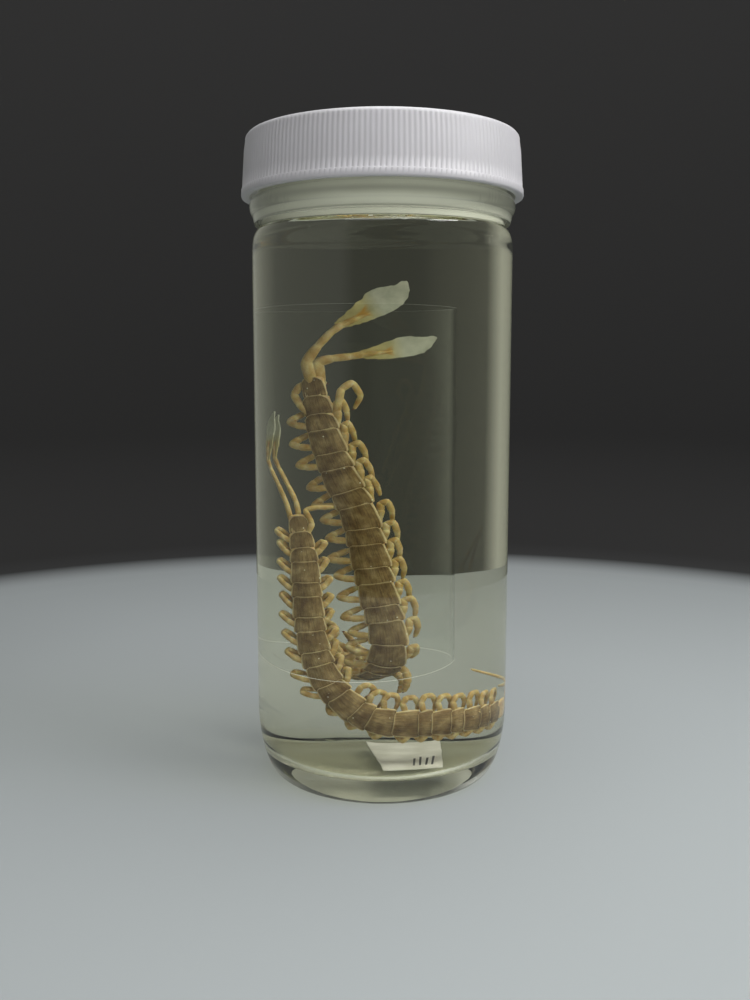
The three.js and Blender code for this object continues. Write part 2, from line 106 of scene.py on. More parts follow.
def applied(piece, kind, **settings):
    """A modifier added with its settings and applied at once."""
    alone(piece)
    modifier = piece.modifiers.new(kind.title(), kind)
    for key, value in settings.items():
        setattr(modifier, key, value)
    bpy.ops.object.modifier_apply(modifier=modifier.name)
    return piece


def stands_for(piece, slot, *nodes):
    """The piece takes the place of CAD nodes, which are hidden, and hangs from the root. Its slot is not
    used.
    """
    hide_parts(*nodes)
    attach(piece, "root")


def clad(piece, *materials):
    for material in materials:
        piece.data.materials.append(material)


JAR_SIDES = 144
FLUID_LEVEL = 120.9
jar = turned("jar", [
    (0.6, 2.4), (9.0, 2.25), (17.0, 1.75), (19.2, 1.0), (20.0, 0.4), (20.6, 0.08), (21.2, 0.0), (22.8, 0.0),
    *arc(23.5, 16.0, 5.2, 15.95, -82, 0, 18),
    (28.7, 40.0), (28.7, 70.0), (28.7, 100.0),
    *arc(26.9, 117.5, 1.8, 4.9, 0, 78, 9),
    (26.95, 122.9), (26.9, 123.5),
    *arc(28.3, 124.6, 1.4, 1.2, 216, 262, 4)[1:],
    *arc(28.2, 127.0, 0.95, 1.9, -70, 70, 12),
    (27.6, 129.0), (27.3, 129.6), (27.3, 134.0), (27.3, 138.6),
    *arc(26.7, 139.0, 0.6, 0.6, 0, 90, 5),
    *arc(25.5, 139.0, 0.6, 0.6, 90, 180, 5)[1:],
    (24.9, 132.0), (24.95, 126.0), (25.0, 123.6), (25.5, 121.6), (26.1, 119.4), (26.3, 117.0),
    (26.3, 90.0), (26.3, 50.0), (26.3, 20.0), (26.3, 14.6),
    *arc(17.3, 14.0, 9.0, 9.0, 0, -90, 16), (10.0, 5.06), (5.0, 5.13), (0.6, 5.15),
], JAR_SIDES)

# One turn of thread, raised on the finish and melted into it
THREAD_STEPS = 150
THREAD_TURNS = 1.15
THREAD_RADIUS, THREAD_FOOT, THREAD_RISE = 27.05, 132.2, 3.4
thread = turned("thread", [(0.8, i) for i in range(THREAD_STEPS + 1)], 10)
for v in thread.data.vertices:
    share = v.co.z / (THREAD_STEPS * MM)
    turn = 2 * math.pi * THREAD_TURNS * share + math.radians(200)
    fade = max(0.02, min(1, share * 9, (1 - share) * 9)) ** 0.5
    out = THREAD_RADIUS * MM + v.co.x * fade
    height = (THREAD_FOOT + THREAD_RISE * share) * MM + v.co.y
    v.co = (out * math.cos(turn), out * math.sin(turn), height)
edit_all()
close_up()
applied(jar, "BOOLEAN", operation="UNION", solver="EXACT", object=thread)
bpy.data.objects.remove(thread)
smoothed(jar, 40)


class Finish:
    """A material whose nodes are added and joined one by one. Where a node is given as a value, its
    first output is meant."""

    def __init__(self, name):
        self.material = bpy.data.materials.new(name)
        self.material.use_nodes = True
        self.tree = self.material.node_tree
        self.tree.nodes.clear()

    def put(self, value, slot):
        if isinstance(value, bpy.types.Node):
            value = value.outputs[0]
        if isinstance(value, bpy.types.NodeSocket):
            self.tree.links.new(value, slot)
        else:
            slot.default_value = value

    def node(self, kind, **inputs):
        made = self.tree.nodes.new("ShaderNode" + kind)
        for key, value in inputs.items():
            self.put(value, made.inputs[key.replace("_", " ")])
        return made

    def place(self):
        return self.node("TexCoord").outputs["Object"]

    def noise(self, scale, detail, roughness=0.5):
        return self.node("TexNoise", Vector=self.place(), Scale=scale, Detail=detail, Roughness=roughness)

    def maths(self, operation, *values):
        made = self.node("Math")
        made.operation = operation
        for value, slot in zip(values, made.inputs):
            self.put(value, slot)
        return made

    def ramp(self, value, *stops):
        """Colours along a value, from stops of (position, colour)."""
        made = self.node("ValToRGB", Fac=value)
        elements = made.color_ramp.elements
        while len(elements) < len(stops):
            elements.new(0.5)
        for element, (position, colour) in zip(elements, stops):
            element.position = position
            element.color = (*colour, 1)
        return made

    def mixed(self, share, first, second):
        """A mix of two shaders."""
        made = self.node("MixShader", Fac=share)
        self.put(first, made.inputs[1])
        self.put(second, made.inputs[2])
        return made

    def blended(self, share, first, second, kind="MIX"):
        """A mix of two colours."""
        made = self.node("Mix")
        made.data_type = "RGBA"
        made.blend_type = kind
        for i, value in ((0, share), (6, first), (7, second)):
            self.put((*value, 1) if isinstance(value, tuple) else value, made.inputs[i])
        return made.outputs[2]

    def surfaced(self, shader):
        self.node("OutputMaterial", Surface=shader)
        return self.material

    def lit_through(self, body, tint):
        """A clear body that lets the lamps and soft light through to what stands behind it."""
        path = self.node("LightPath")
        open_way = self.maths("MAXIMUM", path.outputs["Is Shadow Ray"], path.outputs["Is Diffuse Ray"])
        return self.surfaced(self.mixed(open_way, body, self.node("BsdfTransparent", Color=tint)))


# The deposit on the neck, from its foot to its top: pale, with thin darker lines of painted shade between
# its bands where the edges of the carrying ring and the thread show, and a painted shadow just under the
# lid's edge
NECK_FOOT, NECK_TOP = 120.5, 129.0
NECK_DEPOSIT_AND_SHADE = [
    (0.0, 0.95), (0.13, 0.95), (0.17, 0.18), (0.21, 0.98), (0.44, 0.98), (0.48, 0.30), (0.53, 0.98),
    (0.74, 0.98), (0.82, 0.25), (0.88, 0.80), (0.94, 0.40), (1.0, 0.75),
]


def clear_glass(name, ior, tint, ripple, roughness=0.0, scale=55.0, depth=0.4, haze=0.0, bands=()):
    """Clear glass with a faint ripple from the mould, and with a pale deposit on it if it has a haze. With
    bands, the deposit has thin darker lines of painted shade along its height.
    """
    finish = Finish(name)
    waves = finish.noise(scale, 1.0)
    bump = finish.node("Bump", Height=waves, Strength=ripple, Distance=depth * MM)
    body = finish.node("BsdfGlass", Color=tint, Roughness=roughness, IOR=ior, Normal=bump)
    if haze:
        deposit_and_shade = (0.95, 0.97, 0.82, 1)
        # Painted shade: with bands, the deposit is darker in thin lines by height, for the edges of the ring
        # and thread and for the lid's shadow
        if bands:
            height = finish.node("SeparateXYZ", Vector=finish.place()).outputs["Z"]
            level = finish.node("MapRange", Value=height, From_Min=NECK_FOOT * MM, From_Max=NECK_TOP * MM)
            tints = [(share, (tone, tone * 1.02, tone * 0.84)) for share, tone in bands]
            deposit_and_shade = finish.ramp(level, *tints)
            deposit_and_shade.color_ramp.interpolation = "B_SPLINE"
        face = finish.node("BsdfDiffuse", Color=deposit_and_shade)
        glow = finish.node("BsdfTranslucent", Color=(0.95, 0.95, 0.82, 1))
        body = finish.mixed(haze, body, finish.mixed(0.15, face, glow))
    return finish.lit_through(body, tint)


GLASS_IOR = 1.52
FLUID_IOR = 1.361
JAR_TINT = (0.975, 0.976, 0.952, 1)
NECK_TINT = (0.93, 0.94, 0.87, 1)
FOOT_TINT = (0.96, 0.965, 0.94, 1)
clad(
    jar,
    clear_glass("jar_glass", GLASS_IOR, JAR_TINT, 0.12),
    clear_glass("jar_glass_wet", GLASS_IOR / FLUID_IOR, JAR_TINT, 0.12),
    clear_glass("jar_glass_fogged_and_shaded", GLASS_IOR, NECK_TINT, 0.5, 0.28, 700.0, 0.4, 0.94, NECK_DEPOSIT_AND_SHADE),
    clear_glass("jar_glass_foot", GLASS_IOR, FOOT_TINT, 0.8, 0.22, 900.0, 0.2, 0.3),
)
PLAIN, WET, FOGGED_AND_SHADED, FOOT = range(4)
INNER_WALL, INNER_NECK, INNER_FLOOR, RIM = 26.4, 26.2, 4.5, 138.5
FOOT_RADIUS, FOOT_HEIGHT = 23.0, 2.6
for face in jar.data.polygons:
    across, height = math.hypot(*face.center[:2]) / MM, face.center.z / MM
    face.material_index = PLAIN
    if across < INNER_WALL and INNER_FLOOR < height < FLUID_LEVEL:
        face.material_index = WET
    elif across < INNER_NECK and FLUID_LEVEL <= height < RIM:
        face.material_index = FOGGED_AND_SHADED
    elif across < FOOT_RADIUS and height < FOOT_HEIGHT:
        face.material_index = FOOT
stands_for(jar, "glass", "jar")


# The film sleeve: a strip of clear polyester film rolled into an oval tube, which springs against the
# wall and holds the animals up in view. It is cut square, and its cut edges are painted whitish, a painted
# highlight that shows them as bright lines.
SLEEVE_CENTRE = (-5.6, -1.5)
SLEEVE_HALF = (17.9, 21.5)
SLEEVE_FOOT, SLEEVE_TOP = 27.0, 105.2
SLEEVE_ROWS = 8
FILM = 0.42
sleeve = primitive("circle", "film_sleeve", vertices=128, radius=1.0)
edit_all()
bpy.ops.transform.resize(value=(SLEEVE_HALF[0] * MM, SLEEVE_HALF[1] * MM, 1))
bpy.ops.transform.translate(value=(SLEEVE_CENTRE[0] * MM, SLEEVE_CENTRE[1] * MM, SLEEVE_FOOT * MM))
row_rise = (0, 0, (SLEEVE_TOP - SLEEVE_FOOT) / SLEEVE_ROWS * MM)
for i in range(SLEEVE_ROWS):
    bpy.ops.mesh.extrude_region_move(TRANSFORM_OT_translate={"value": row_rise})
close_up()
clear_film = Finish("clear_film")
film_body = clear_film.node("BsdfGlass", Color=(0.985, 0.99, 0.985, 1), Roughness=0.0, IOR=1.17)
# Painted highlight: the cut edges are whitish, lit and half lit through, so that they show as bright lines
cut_film_glint = Finish("clear_film_cut_glint")
edge_glint_face = cut_film_glint.node("BsdfDiffuse", Color=(0.97, 0.98, 0.97, 1))
edge_glow = cut_film_glint.node("BsdfTranslucent", Color=(0.92, 0.95, 0.93, 1))
edge_open = cut_film_glint.node("BsdfTransparent", Color=(0.92, 0.93, 0.92, 1))
edge = cut_film_glint.mixed(0.05, cut_film_glint.mixed(0.4, edge_glint_face, edge_glow), edge_open)
clad(sleeve, clear_film.lit_through(film_body, (0.97, 0.975, 0.97, 1)), cut_film_glint.surfaced(edge))
applied(sleeve, "SOLIDIFY", thickness=FILM * MM, offset=-1.0, use_rim=True, material_offset_rim=1)
smoothed(sleeve, 40)
stands_for(sleeve, "clear_film", "film_sleeve")


# The tag: a slip of wet white paper that lies on the floor of the jar, a little curled, with four plain
# pencil strokes on it.
TAG_SIZE = (11.5, 24.0)
TAG_CENTRE = (4.6, -3.0)
TAG_LEVEL = 5.32
TAG_TURN = math.radians(6.5)
tag = primitive("grid", "paper_tag", x_subdivisions=24, y_subdivisions=44, size=1.0)


def tag_point(x, y, lift=0.0, ragged=0.0):
    """A place on the slip, from shares of its width and length, each from -0.5 to 0.5."""
    curl = 0.5 * (abs(x) * 2) ** 3 * (0.4 + y) ** 2 + 0.2 * (y + 0.5) ** 2
    x = x * TAG_SIZE[0] + (ragged if abs(x) > 0.49 else 0)
    y = y * TAG_SIZE[1] + (ragged if abs(y) > 0.49 else 0)
    turned_x = TAG_CENTRE[0] + x * math.cos(TAG_TURN) - y * math.sin(TAG_TURN)
    turned_y = TAG_CENTRE[1] + x * math.sin(TAG_TURN) + y * math.cos(TAG_TURN)
    return Vector((turned_x, turned_y, TAG_LEVEL + curl + lift)) * MM


for v in tag.data.vertices:
    x, y = v.co.x, v.co.y
    v.co = tag_point(x, y, 0.0, 0.12 * noise.noise(Vector((x * 9, y * 9, 3.0))))
applied(tag, "SOLIDIFY", thickness=0.22 * MM, offset=1.0)
smoothed(tag, 50)
tag_paper = Finish("tag_paper")
fibres = tag_paper.noise(1600.0, 5.0)
stain = tag_paper.ramp(tag_paper.noise(220.0, 3.0), (0.3, (0.60, 0.60, 0.55)), (0.7, (0.80, 0.80, 0.77)))
nap = tag_paper.node("Bump", Height=fibres, Strength=0.4, Distance=0.0001)
clad(tag, tag_paper.surfaced(
    tag_paper.node("BsdfPrincipled", Base_Color=stain, Roughness=0.8, IOR=1.12, Normal=nap)))
stands_for(tag, "tag_paper", "paper_tag")


def joined(pieces, name):
    bpy.ops.object.select_all(action="DESELECT")
    for piece in pieces:
        piece.select_set(True)
    bpy.context.view_layer.objects.active = pieces[0]
    if len(pieces) > 1:
        bpy.ops.object.join()
    whole = bpy.context.object
    whole.name = whole.data.name = name
    return whole


# The strokes, each a raised sliver of lead
strokes = []
for k in range(4):
    stroke = primitive("cube", "stroke", size=1.0)
    for v in stroke.data.vertices:
        along = v.co.y + 0.5
        x = 0.02 + 0.10 * k + 0.05 * along + v.co.x * 0.035
        v.co = tag_point(x, -0.38 + (0.26 + 0.05 * (k % 2)) * along, 0.25 + v.co.z * 0.06)
    strokes.append(stroke)
tag_marks = joined(strokes, "tag_marks")
pencil = Finish("pencil")
clad(tag_marks, pencil.surfaced(
    pencil.node("BsdfPrincipled", Base_Color=(0.06, 0.06, 0.065, 1), Roughness=0.6)))
stands_for(tag_marks, "tag_paper", "paper_tag")


# How a feather-tail centipede is laid out: a head, 21 segments with long and short back plates in
# turn, a pair of legs on each of the first 20, and a last pair that ends in leaves. A body follows
# a path from tail to head, and each station of the path says which way the back faces there.
SEGMENTS = 21
SHORT_PLATES = {2, 4, 6, 9, 11, 13, 15, 17, 19}
HEAD_LENGTH = 4.8
MAIN_WIDTH = 7.4


def plate_length(number):
    if number >= 20:
        return 3.9
    length = 3.5 if number in SHORT_PLATES else 5.2
    return length * 0.8 if number <= 6 else length


def segment_width(number, widest):
    front = 1 - 0.30 * math.exp(-(number - 1) / 5)
    rear = 1 - 0.38 * math.exp(-(SEGMENTS - number) / 2.2)
    return widest * front * rear


def spline_point(points, share):
    """A point of the centripetal curve through points, its share counted over their spans."""
    last = len(points) - 1
    span = min(int(share * last), last - 1)
    weight = share * last - span
    p1, p2 = points[span], points[span + 1]
    p0 = points[span - 1] if span > 0 else p1 * 2 - p2
    p3 = points[span + 2] if span + 2 <= last else p2 * 2 - p1
    d0, d1, d2 = [max((b - a).length, 1e-6) ** 0.5 for a, b in ((p0, p1), (p1, p2), (p2, p3))]
    t1 = ((p1 - p0) / d0 - (p2 - p0) / (d0 + d1) + (p2 - p1) / d1) * d1
    t2 = ((p2 - p1) / d1 - (p3 - p1) / (d1 + d2) + (p3 - p2) / d2) * d1
    c2 = (p2 - p1) * 3 - t1 * 2 - t2
    c3 = (p1 - p2) * 2 + t1 + t2
    return p1 + t1 * weight + c2 * weight**2 + c3 * weight**3


class Line:
    """A line to lay straight pieces along: at each distance it has a centre and ways left and back."""

    def __init__(self, points, backs, aheads=None):
        self.points, self.frames, self.marks = points, [], [0.0]
        for a, b in zip(points, points[1:]):
            self.marks.append(self.marks[-1] + (b - a).length)
        for i, (point, back) in enumerate(zip(points, backs)):
            ahead = (points[min(i + 1, len(points) - 1)] - points[max(i - 1, 0)]).normalized()
            ahead = aheads[i] if aheads else ahead
            back = (back - ahead * back.dot(ahead)).normalized()
            self.frames.append((point, back.cross(ahead), back, ahead))
        self.length = self.marks[-1]

    def at(self, distance):
        if distance <= 0 or distance >= self.length:
            centre, side, back, ahead = self.frames[0 if distance <= 0 else -1]
            past = distance if distance <= 0 else distance - self.length
            return centre + ahead * past, side, back, ahead
        low, high = 0, len(self.marks) - 1
        while high - low > 1:
            middle = (low + high) // 2
            if self.marks[middle] <= distance:
                low = middle
            else:
                high = middle
        share = (distance - self.marks[low]) / (self.marks[high] - self.marks[low])
        return [a.lerp(b, share) for a, b in zip(self.frames[low], self.frames[high])]


class BodyPath(Line):
    def __init__(self, stations, scale, widest):
        steps = 600
        places = [Vector(s[:3]) for s in stations]
        ways = [Vector(s[3:]) for s in stations]
        super().__init__(
            [spline_point(places, i / steps) for i in range(steps + 1)],
            [spline_point(ways, i / steps) for i in range(steps + 1)],
        )
        self.scale, self.widest = scale, widest

    def rear(self, number):
        return sum(plate_length(n) for n in range(number + 1, SEGMENTS + 1)) * self.scale

    def size(self, number):
        return plate_length(number) * self.scale, segment_width(number, self.widest)

    def head_start(self):
        return self.rear(0) + 0.15


def laid(piece, line, marks=None):
    """Lays a straight piece, drawn in millimetres, along a line: z runs along, x left and y back.
    With marks, z counts the joints, and marks has the distance of each joint."""
    for v in piece.data.vertices:
        x, y, z = v.co
        if marks:
            joint = min(max(int(z), 0), len(marks) - 2)
            z = marks[joint] + (marks[joint + 1] - marks[joint]) * (z - joint)
        centre, side, back, _ = line.at(z)
        v.co = (centre + side * x + back * y) * MM
    return piece


def copy_of(piece, name):
    twin = piece.copy()
    twin.data = piece.data.copy()
    twin.name = twin.data.name = name
    bpy.context.scene.collection.objects.link(twin)
    return twin


def tube(name, sides, rings):
    """A straight closed tube: rings of (z, radius), drawn out of a circle one after another. Its map
    runs once round it in u, and v is z."""
    piece = turned(name, [(radius, z) for z, radius in rings], sides, unit=1)
    mapped = piece.data.uv_layers[0]
    mapped.name = "along"
    for face in piece.data.polygons:
        spots = [piece.data.vertices[v].co for v in face.vertices]
        around = [math.atan2(spot.y, spot.x) / (2 * math.pi) % 1 for spot in spots]
        wraps = max(around) - min(around) > 0.5 and len(around) < 5
        for share, spot, corner in zip(around, spots, face.loop_indices):
            mapped.data[corner].uv = (share + 1 if wraps and share < 0.5 else share, spot.z)
    return piece


def jointed_rings(radii, swell=0.07, neck=0.86, first=-0.5):
    """Rings of a limb of several articles: each one swells towards its far end and is drawn in at its
    near end. z counts the joints."""
    rings = [(first, radii[0] * 0.9)]
    for joint, (near, far) in enumerate(zip(radii, radii[1:])):
        for share, fullness in ((0.03, neck), (0.14, 0.97), (0.4, 1.0 + swell * 0.6), (0.72, 1.0 + swell),
                                (0.9, 1.0 + swell * 0.7), (0.985, 0.93)):
            rings.append((joint + share, (near + (far - near) * share) * fullness))
    rings.append((len(radii) - 1 + 0.02, radii[-1] * 0.5))
    return rings


def eased(corners, cut, steps=5):
    """The corners of a limb's route, each one eased by a short curve, and where each corner lies."""
    points, marks = [corners[0].copy()], [0]
    for before, corner, after in zip(corners, corners[1:], corners[2:]):
        reach = cut * min((corner - before).length, (after - corner).length)
        first = corner + (before - corner).normalized() * reach
        last = corner + (after - corner).normalized() * reach
        for i in range(steps + 1):
            t = i / steps
            points.append(first * (1 - t) ** 2 + corner * (2 * t * (1 - t)) + last * t * t)
        marks.append(len(points) - 1 - steps // 2)
    points.append(corners[-1].copy())
    marks.append(len(points) - 1)
    return points, marks


# A way that no limb runs, so that any of them can be turned about it
ASKEW = Vector((0.31, 0.52, 0.79))


def limb_line(corners, cut=0.28, soft=0.55):
    """A line along a limb's route that turns no more than it must, and the distances of its joints. Its
    rings start to turn a little before each joint, so that they don't cut into each other there."""
    points, corners_at = eased(corners, cut)
    plain = Line(points, [ASKEW] * len(points))
    aheads = [(plain.at(d + soft)[0] - plain.at(d - soft)[0]).normalized() for d in plain.marks]
    middle = corners[len(corners) // 2]
    side = (middle - corners[0]).cross(corners[-1] - middle)
    if side.length < 0.1:
        side = ASKEW
    backs = []
    for ahead in aheads:
        side = (side - ahead * side.dot(ahead)).normalized()
        backs.append(side.copy())
    line = Line(points, backs, aheads)
    return line, [line.marks[i] for i in corners_at]


# The main animal's route: its tail is up, its back is to the viewer, and its front end hooks away
# behind, low down, and rises again at the far side.
main = BodyPath([
    (-12.0, -4.6, 90.0, -0.50, -0.87, 0.0),
    (-11.0, -5.0, 83.5, -0.50, -0.87, 0.0),
    (-9.3, -5.3, 76.0, -0.47, -0.88, 0.0),
    (-7.0, -5.4, 68.6, -0.42, -0.91, 0.0),
    (-4.0, -5.4, 61.0, -0.36, -0.93, 0.0),
    (-2.2, -5.4, 52.0, -0.28, -0.96, 0.0),
    (-0.6, -5.4, 43.0, -0.20, -0.98, 0.0),
    (1.0, -5.4, 34.8, -0.12, -0.99, -0.05),
    (1.1, -4.9, 30.6, -0.08, -0.96, -0.25),
    (0.4, -2.6, 26.6, 0.02, -0.80, -0.60),
    (-0.8, 0.6, 24.2, 0.08, -0.40, -0.92),
    (-2.7, 3.9, 23.2, 0.05, 0.10, -0.99),
    (-5.2, 7.2, 23.8, -0.10, 0.50, -0.85),
    (-7.9, 9.8, 26.4, -0.25, 0.80, -0.54),
    (-9.7, 10.9, 30.6, -0.36, 0.92, -0.15),
    (-10.9, 11.0, 36.2, -0.38, 0.92, 0.10),
], 1.0, MAIN_WIDTH)


# The trunk: soft tanned hide between the plates, drawn in between the segments and swollen where
# the legs join it. It runs on under the head shield.
def trunk_of(name, path, sides):
    rings = [(-0.5, 0.35), (-0.38, 0.7), (-0.15, 0.95)]
    for n in range(SEGMENTS, 0, -1):
        start, length = path.rear(n), path.size(n)[0]
        for share in (0.04, 0.16, 0.34, 0.52, 0.7, 0.86, 0.96):
            rings.append((start + length * share, 1.0))
    head_start = path.head_start()
    for share in (0.03, 0.12, 0.28, 0.45, 0.62, 0.78, 0.9, 0.97):
        rings.append((head_start + HEAD_LENGTH * path.scale * share, 1.0))
    piece = tube(name, sides, rings)
    for v in piece.data.vertices:
        x, y, z = v.co
        angle, fullness = math.atan2(y, x), math.hypot(x, y)
        if z < head_start:
            n = next((k for k in range(SEGMENTS, 0, -1) if z < path.rear(k - 1)), 1)
            length, width = path.size(n)
            share = (z - path.rear(n)) / length
            waist = 0.84 + 0.10 * max(0.0, math.sin(math.pi * min(max(share, 0), 1))) ** 0.6
            half, rise, drop = width / 2 * waist, width * 0.172, width * 0.225 * (0.9 + 0.12 * waist)
            folds = 0.05 * math.sin(angle * 9 + z * 1.3) * abs(math.cos(angle)) ** 3
            if n < SEGMENTS:
                swelling = 0.42 * math.exp(-(((share - 0.6) * length) / 0.75) ** 2)
                half += swelling * math.exp(-((math.sin(angle) + 0.25) / 0.55) ** 2) * path.scale
            half += folds
        else:
            share = (z - head_start) / (HEAD_LENGTH * path.scale)
            across = 0.30 + 0.20 * math.sin(math.pi * (share * 0.72 + 0.2))
            across *= (1 - max(0, share - 0.72) ** 2 * 9) ** 0.5 if share < 1.04 else 0.3
            half = path.widest * 0.66 * across
            rise, drop = path.widest * 0.105, path.widest * 0.17
            rise *= 1 - max(0, share - 0.6) ** 2 * 2.5
        x = math.copysign(abs(math.cos(angle)) ** 0.7, math.cos(angle)) * half * fullness
        y = math.sin(angle) * (rise if y > 0 else drop) * fullness
        v.co.x, v.co.y = x, y
    return laid(piece, path)


# The walking legs: five articles of thin hard hide and a small dark claw each. One is drawn out straight,
# and each leg is a copy of it, bent into the folds of a leg at rest in spirit.
LEG_RADII = [0.66, 0.74, 0.72, 0.68, 0.58, 0.34]
plain_leg = tube("leg_model", 12, jointed_rings(LEG_RADII, first=-0.55))


def leg_joints(path, number, side_sign, pose, root_depth, shape="loop"):
    """Joints of a folded leg. A loop stands out and folds back on its tail side, a vee turns sharply back
    half way out, a finger lies back along the flank and folds down outside it, and an arch stands up and
    comes down on the head side."""
    reach, lean, tuck = pose
    length, width = path.size(number)
    centre, side, back, ahead = path.at(path.rear(number) + length * 0.6)
    size = path.widest / MAIN_WIDTH * (0.82 + 0.18 * width / path.widest)
    root = width / 2 - root_depth
    out = reach * size
    if shape == "finger":
        spread = 0.35 + 0.6 * (0.5 + 0.5 * math.sin(number * 2.3) ** 2)
        rest = ((0.05 * out, 0.5 * lean, 0.3), (0.15 * out, lean, 0.6), (spread * out, lean + 0.15, 0.9),
                ((spread + 0.05) * out, lean - 2.2, 1.3), ((spread - 0.35) * out, lean - 4.2, 2.2))
    elif shape == "vee":
        rest = ((0.5 * out, 0.45 * lean, 0.1), (out, lean, 0.5), (0.66 * out, lean + 0.25, 1.0),
                (0.16 * out, 0.66 * lean, 1.6), (-0.2, 0.33 * lean, 2.3))
    elif shape == "arch":
        rest = ((0.62 * out, 1.3, 0.15), (1.0 * out, 0.6, 0.5), (0.98 * out, -0.9, 1.1),
                (0.5 * out, -1.5, 1.6), (-0.4, -1.3, 2.2))
    else:
        rest = ((0.55 * out, 0.4 * lean, 0.1), (out, lean, 0.55), (0.60 * out, lean + 0.70, 1.4 * tuck),
                (0.15 * out, lean + 1.25, 2.1 * tuck), (-0.3, lean + 1.2, 2.8 * tuck))
    start = 0.6 if shape == "arch" else -0.1
    return [
        centre + side * (side_sign * (root + away)) - ahead * to_tail - back * under
        for away, to_tail, under in ((-0.5, start, 0.35), *rest)
    ]


def leg_pose(number, side_sign):
    waver = math.sin(number * 2.3 + side_sign)
    drift = math.cos(number * 1.7 - side_sign * 0.8)
    at_tail = math.exp((number - SEGMENTS + 1) / 4)
    at_head = math.exp((1 - number) / 3)
    tuck = 1 + 0.08 * drift
    if side_sign > 0:
        lean = 2.9 + 0.4 * drift + 1.0 * at_tail - 1.2 * at_head
        return 1.9 + 0.25 * waver - 0.2 * at_tail, lean, tuck
    return 3.5 + 0.4 * waver, 1.0 + 0.2 * drift + 1.4 * at_tail**3, tuck


def claw_at(line, size):
    """A small hooked claw on the tip of a limb, pointing on along it."""
    claw = tube("claw", 6, [(0.0, 0.75), (0.3, 0.8), (0.9, 0.55), (1.5, 0.3), (2.0, 0.06)])
    centre, side, back, ahead = line.at(line.length)
    for v in claw.data.vertices:
        x, y, z = v.co * size
        place = centre + ahead * (z - size * 0.4) + side * (x + (z / size) ** 2 * size * 0.28) + back * y
        v.co = place * MM
    return claw


def leg_along(name, corners, radius_scale=1.0, model=None):
    line, marks = limb_line(corners)
    leg = copy_of(model or plain_leg, name)
    if radius_scale != 1.0:
        for v in leg.data.vertices:
            v.co.x *= radius_scale
            v.co.y *= radius_scale
    return laid(leg, line, marks), line


# Four legs lie otherwise: the last left one arches over outwards, the last right one hugs the tail, and
# two under the bend of the body hang down at its left
ODD_LEGS = {
    (20, 1): [(-8.6, -5.7, 81.4), (-7.6, -6.7, 84.8), (-7.2, -6.6, 87.8),
              (-5.2, -6.2, 89.4), (-3.6, -5.7, 86.4), (-4.8, -5.2, 83.7)],
    (20, -1): [(-12.9, -3.9, 82.7), (-14.3, -3.5, 84.6), (-15.2, -3.1, 86.5),
               (-14.0, -2.6, 88.6), (-12.0, -2.4, 89.4), (-9.4, -2.4, 89.1)],
    (6, 1): [(3.0, -1.7, 26.2), (4.1, -2.3, 24.9), (4.4, -2.6, 23.7),
             (4.3, -2.7, 22.5), (4.1, -2.7, 21.4), (3.8, -2.6, 20.4)],
    (5, 1): [(1.8, 1.2, 24.2), (3.0, 0.6, 23.3), (3.5, 0.0, 22.4),
             (3.5, -0.4, 21.4), (3.2, -0.7, 20.5), (2.8, -0.8, 19.8)],
}
main_legs, main_claws = [], []
for side_sign, shape in ((1, "finger"), (-1, "loop")):
    for n in range(1, SEGMENTS):
        corners = leg_joints(main, n, side_sign, leg_pose(n, side_sign), -0.2, shape)
        if (n, side_sign) in ODD_LEGS:
            corners = [Vector(p) for p in ODD_LEGS[n, side_sign]]
        leg, line = leg_along(f"leg_{n}_{side_sign}", corners)
        main_legs.append((n, leg))
        main_claws.append(claw_at(line, 0.3))


# The last legs: three stout articles, then a long one edged with a thin leaf, and the leaf proper. An
# animal rustles them together. The leaves are almost clear, with a tan core that ends in a fork.
def edge_height(points, share):
    """Height of an edge at a share of its length, eased between the points of that edge."""
    for (x0, y0), (x1, y1) in zip(points, points[1:]):
        if x0 <= share <= x1:
            blend = (share - x0) / (x1 - x0)
            blend = blend * blend * (3 - 2 * blend)
            return y0 + (y1 - y0) * blend
    return points[-1][1]


LEAF_UPPER = [(0, 0.14), (0.1, 0.24), (0.24, 0.36), (0.36, 0.50), (0.42, 0.52), (0.52, 0.66), (0.64, 0.68),
              (0.78, 0.60), (0.86, 0.54), (0.93, 0.58), (1.0, 0.52)]
LEAF_LOWER = [(0, -0.14), (0.15, -0.26), (0.3, -0.34), (0.4, -0.36), (0.5, -0.36), (0.66, -0.34),
              (0.8, -0.24), (0.9, -0.02), (0.96, 0.2), (1.0, 0.44)]
LEAF_LAP = 0.8


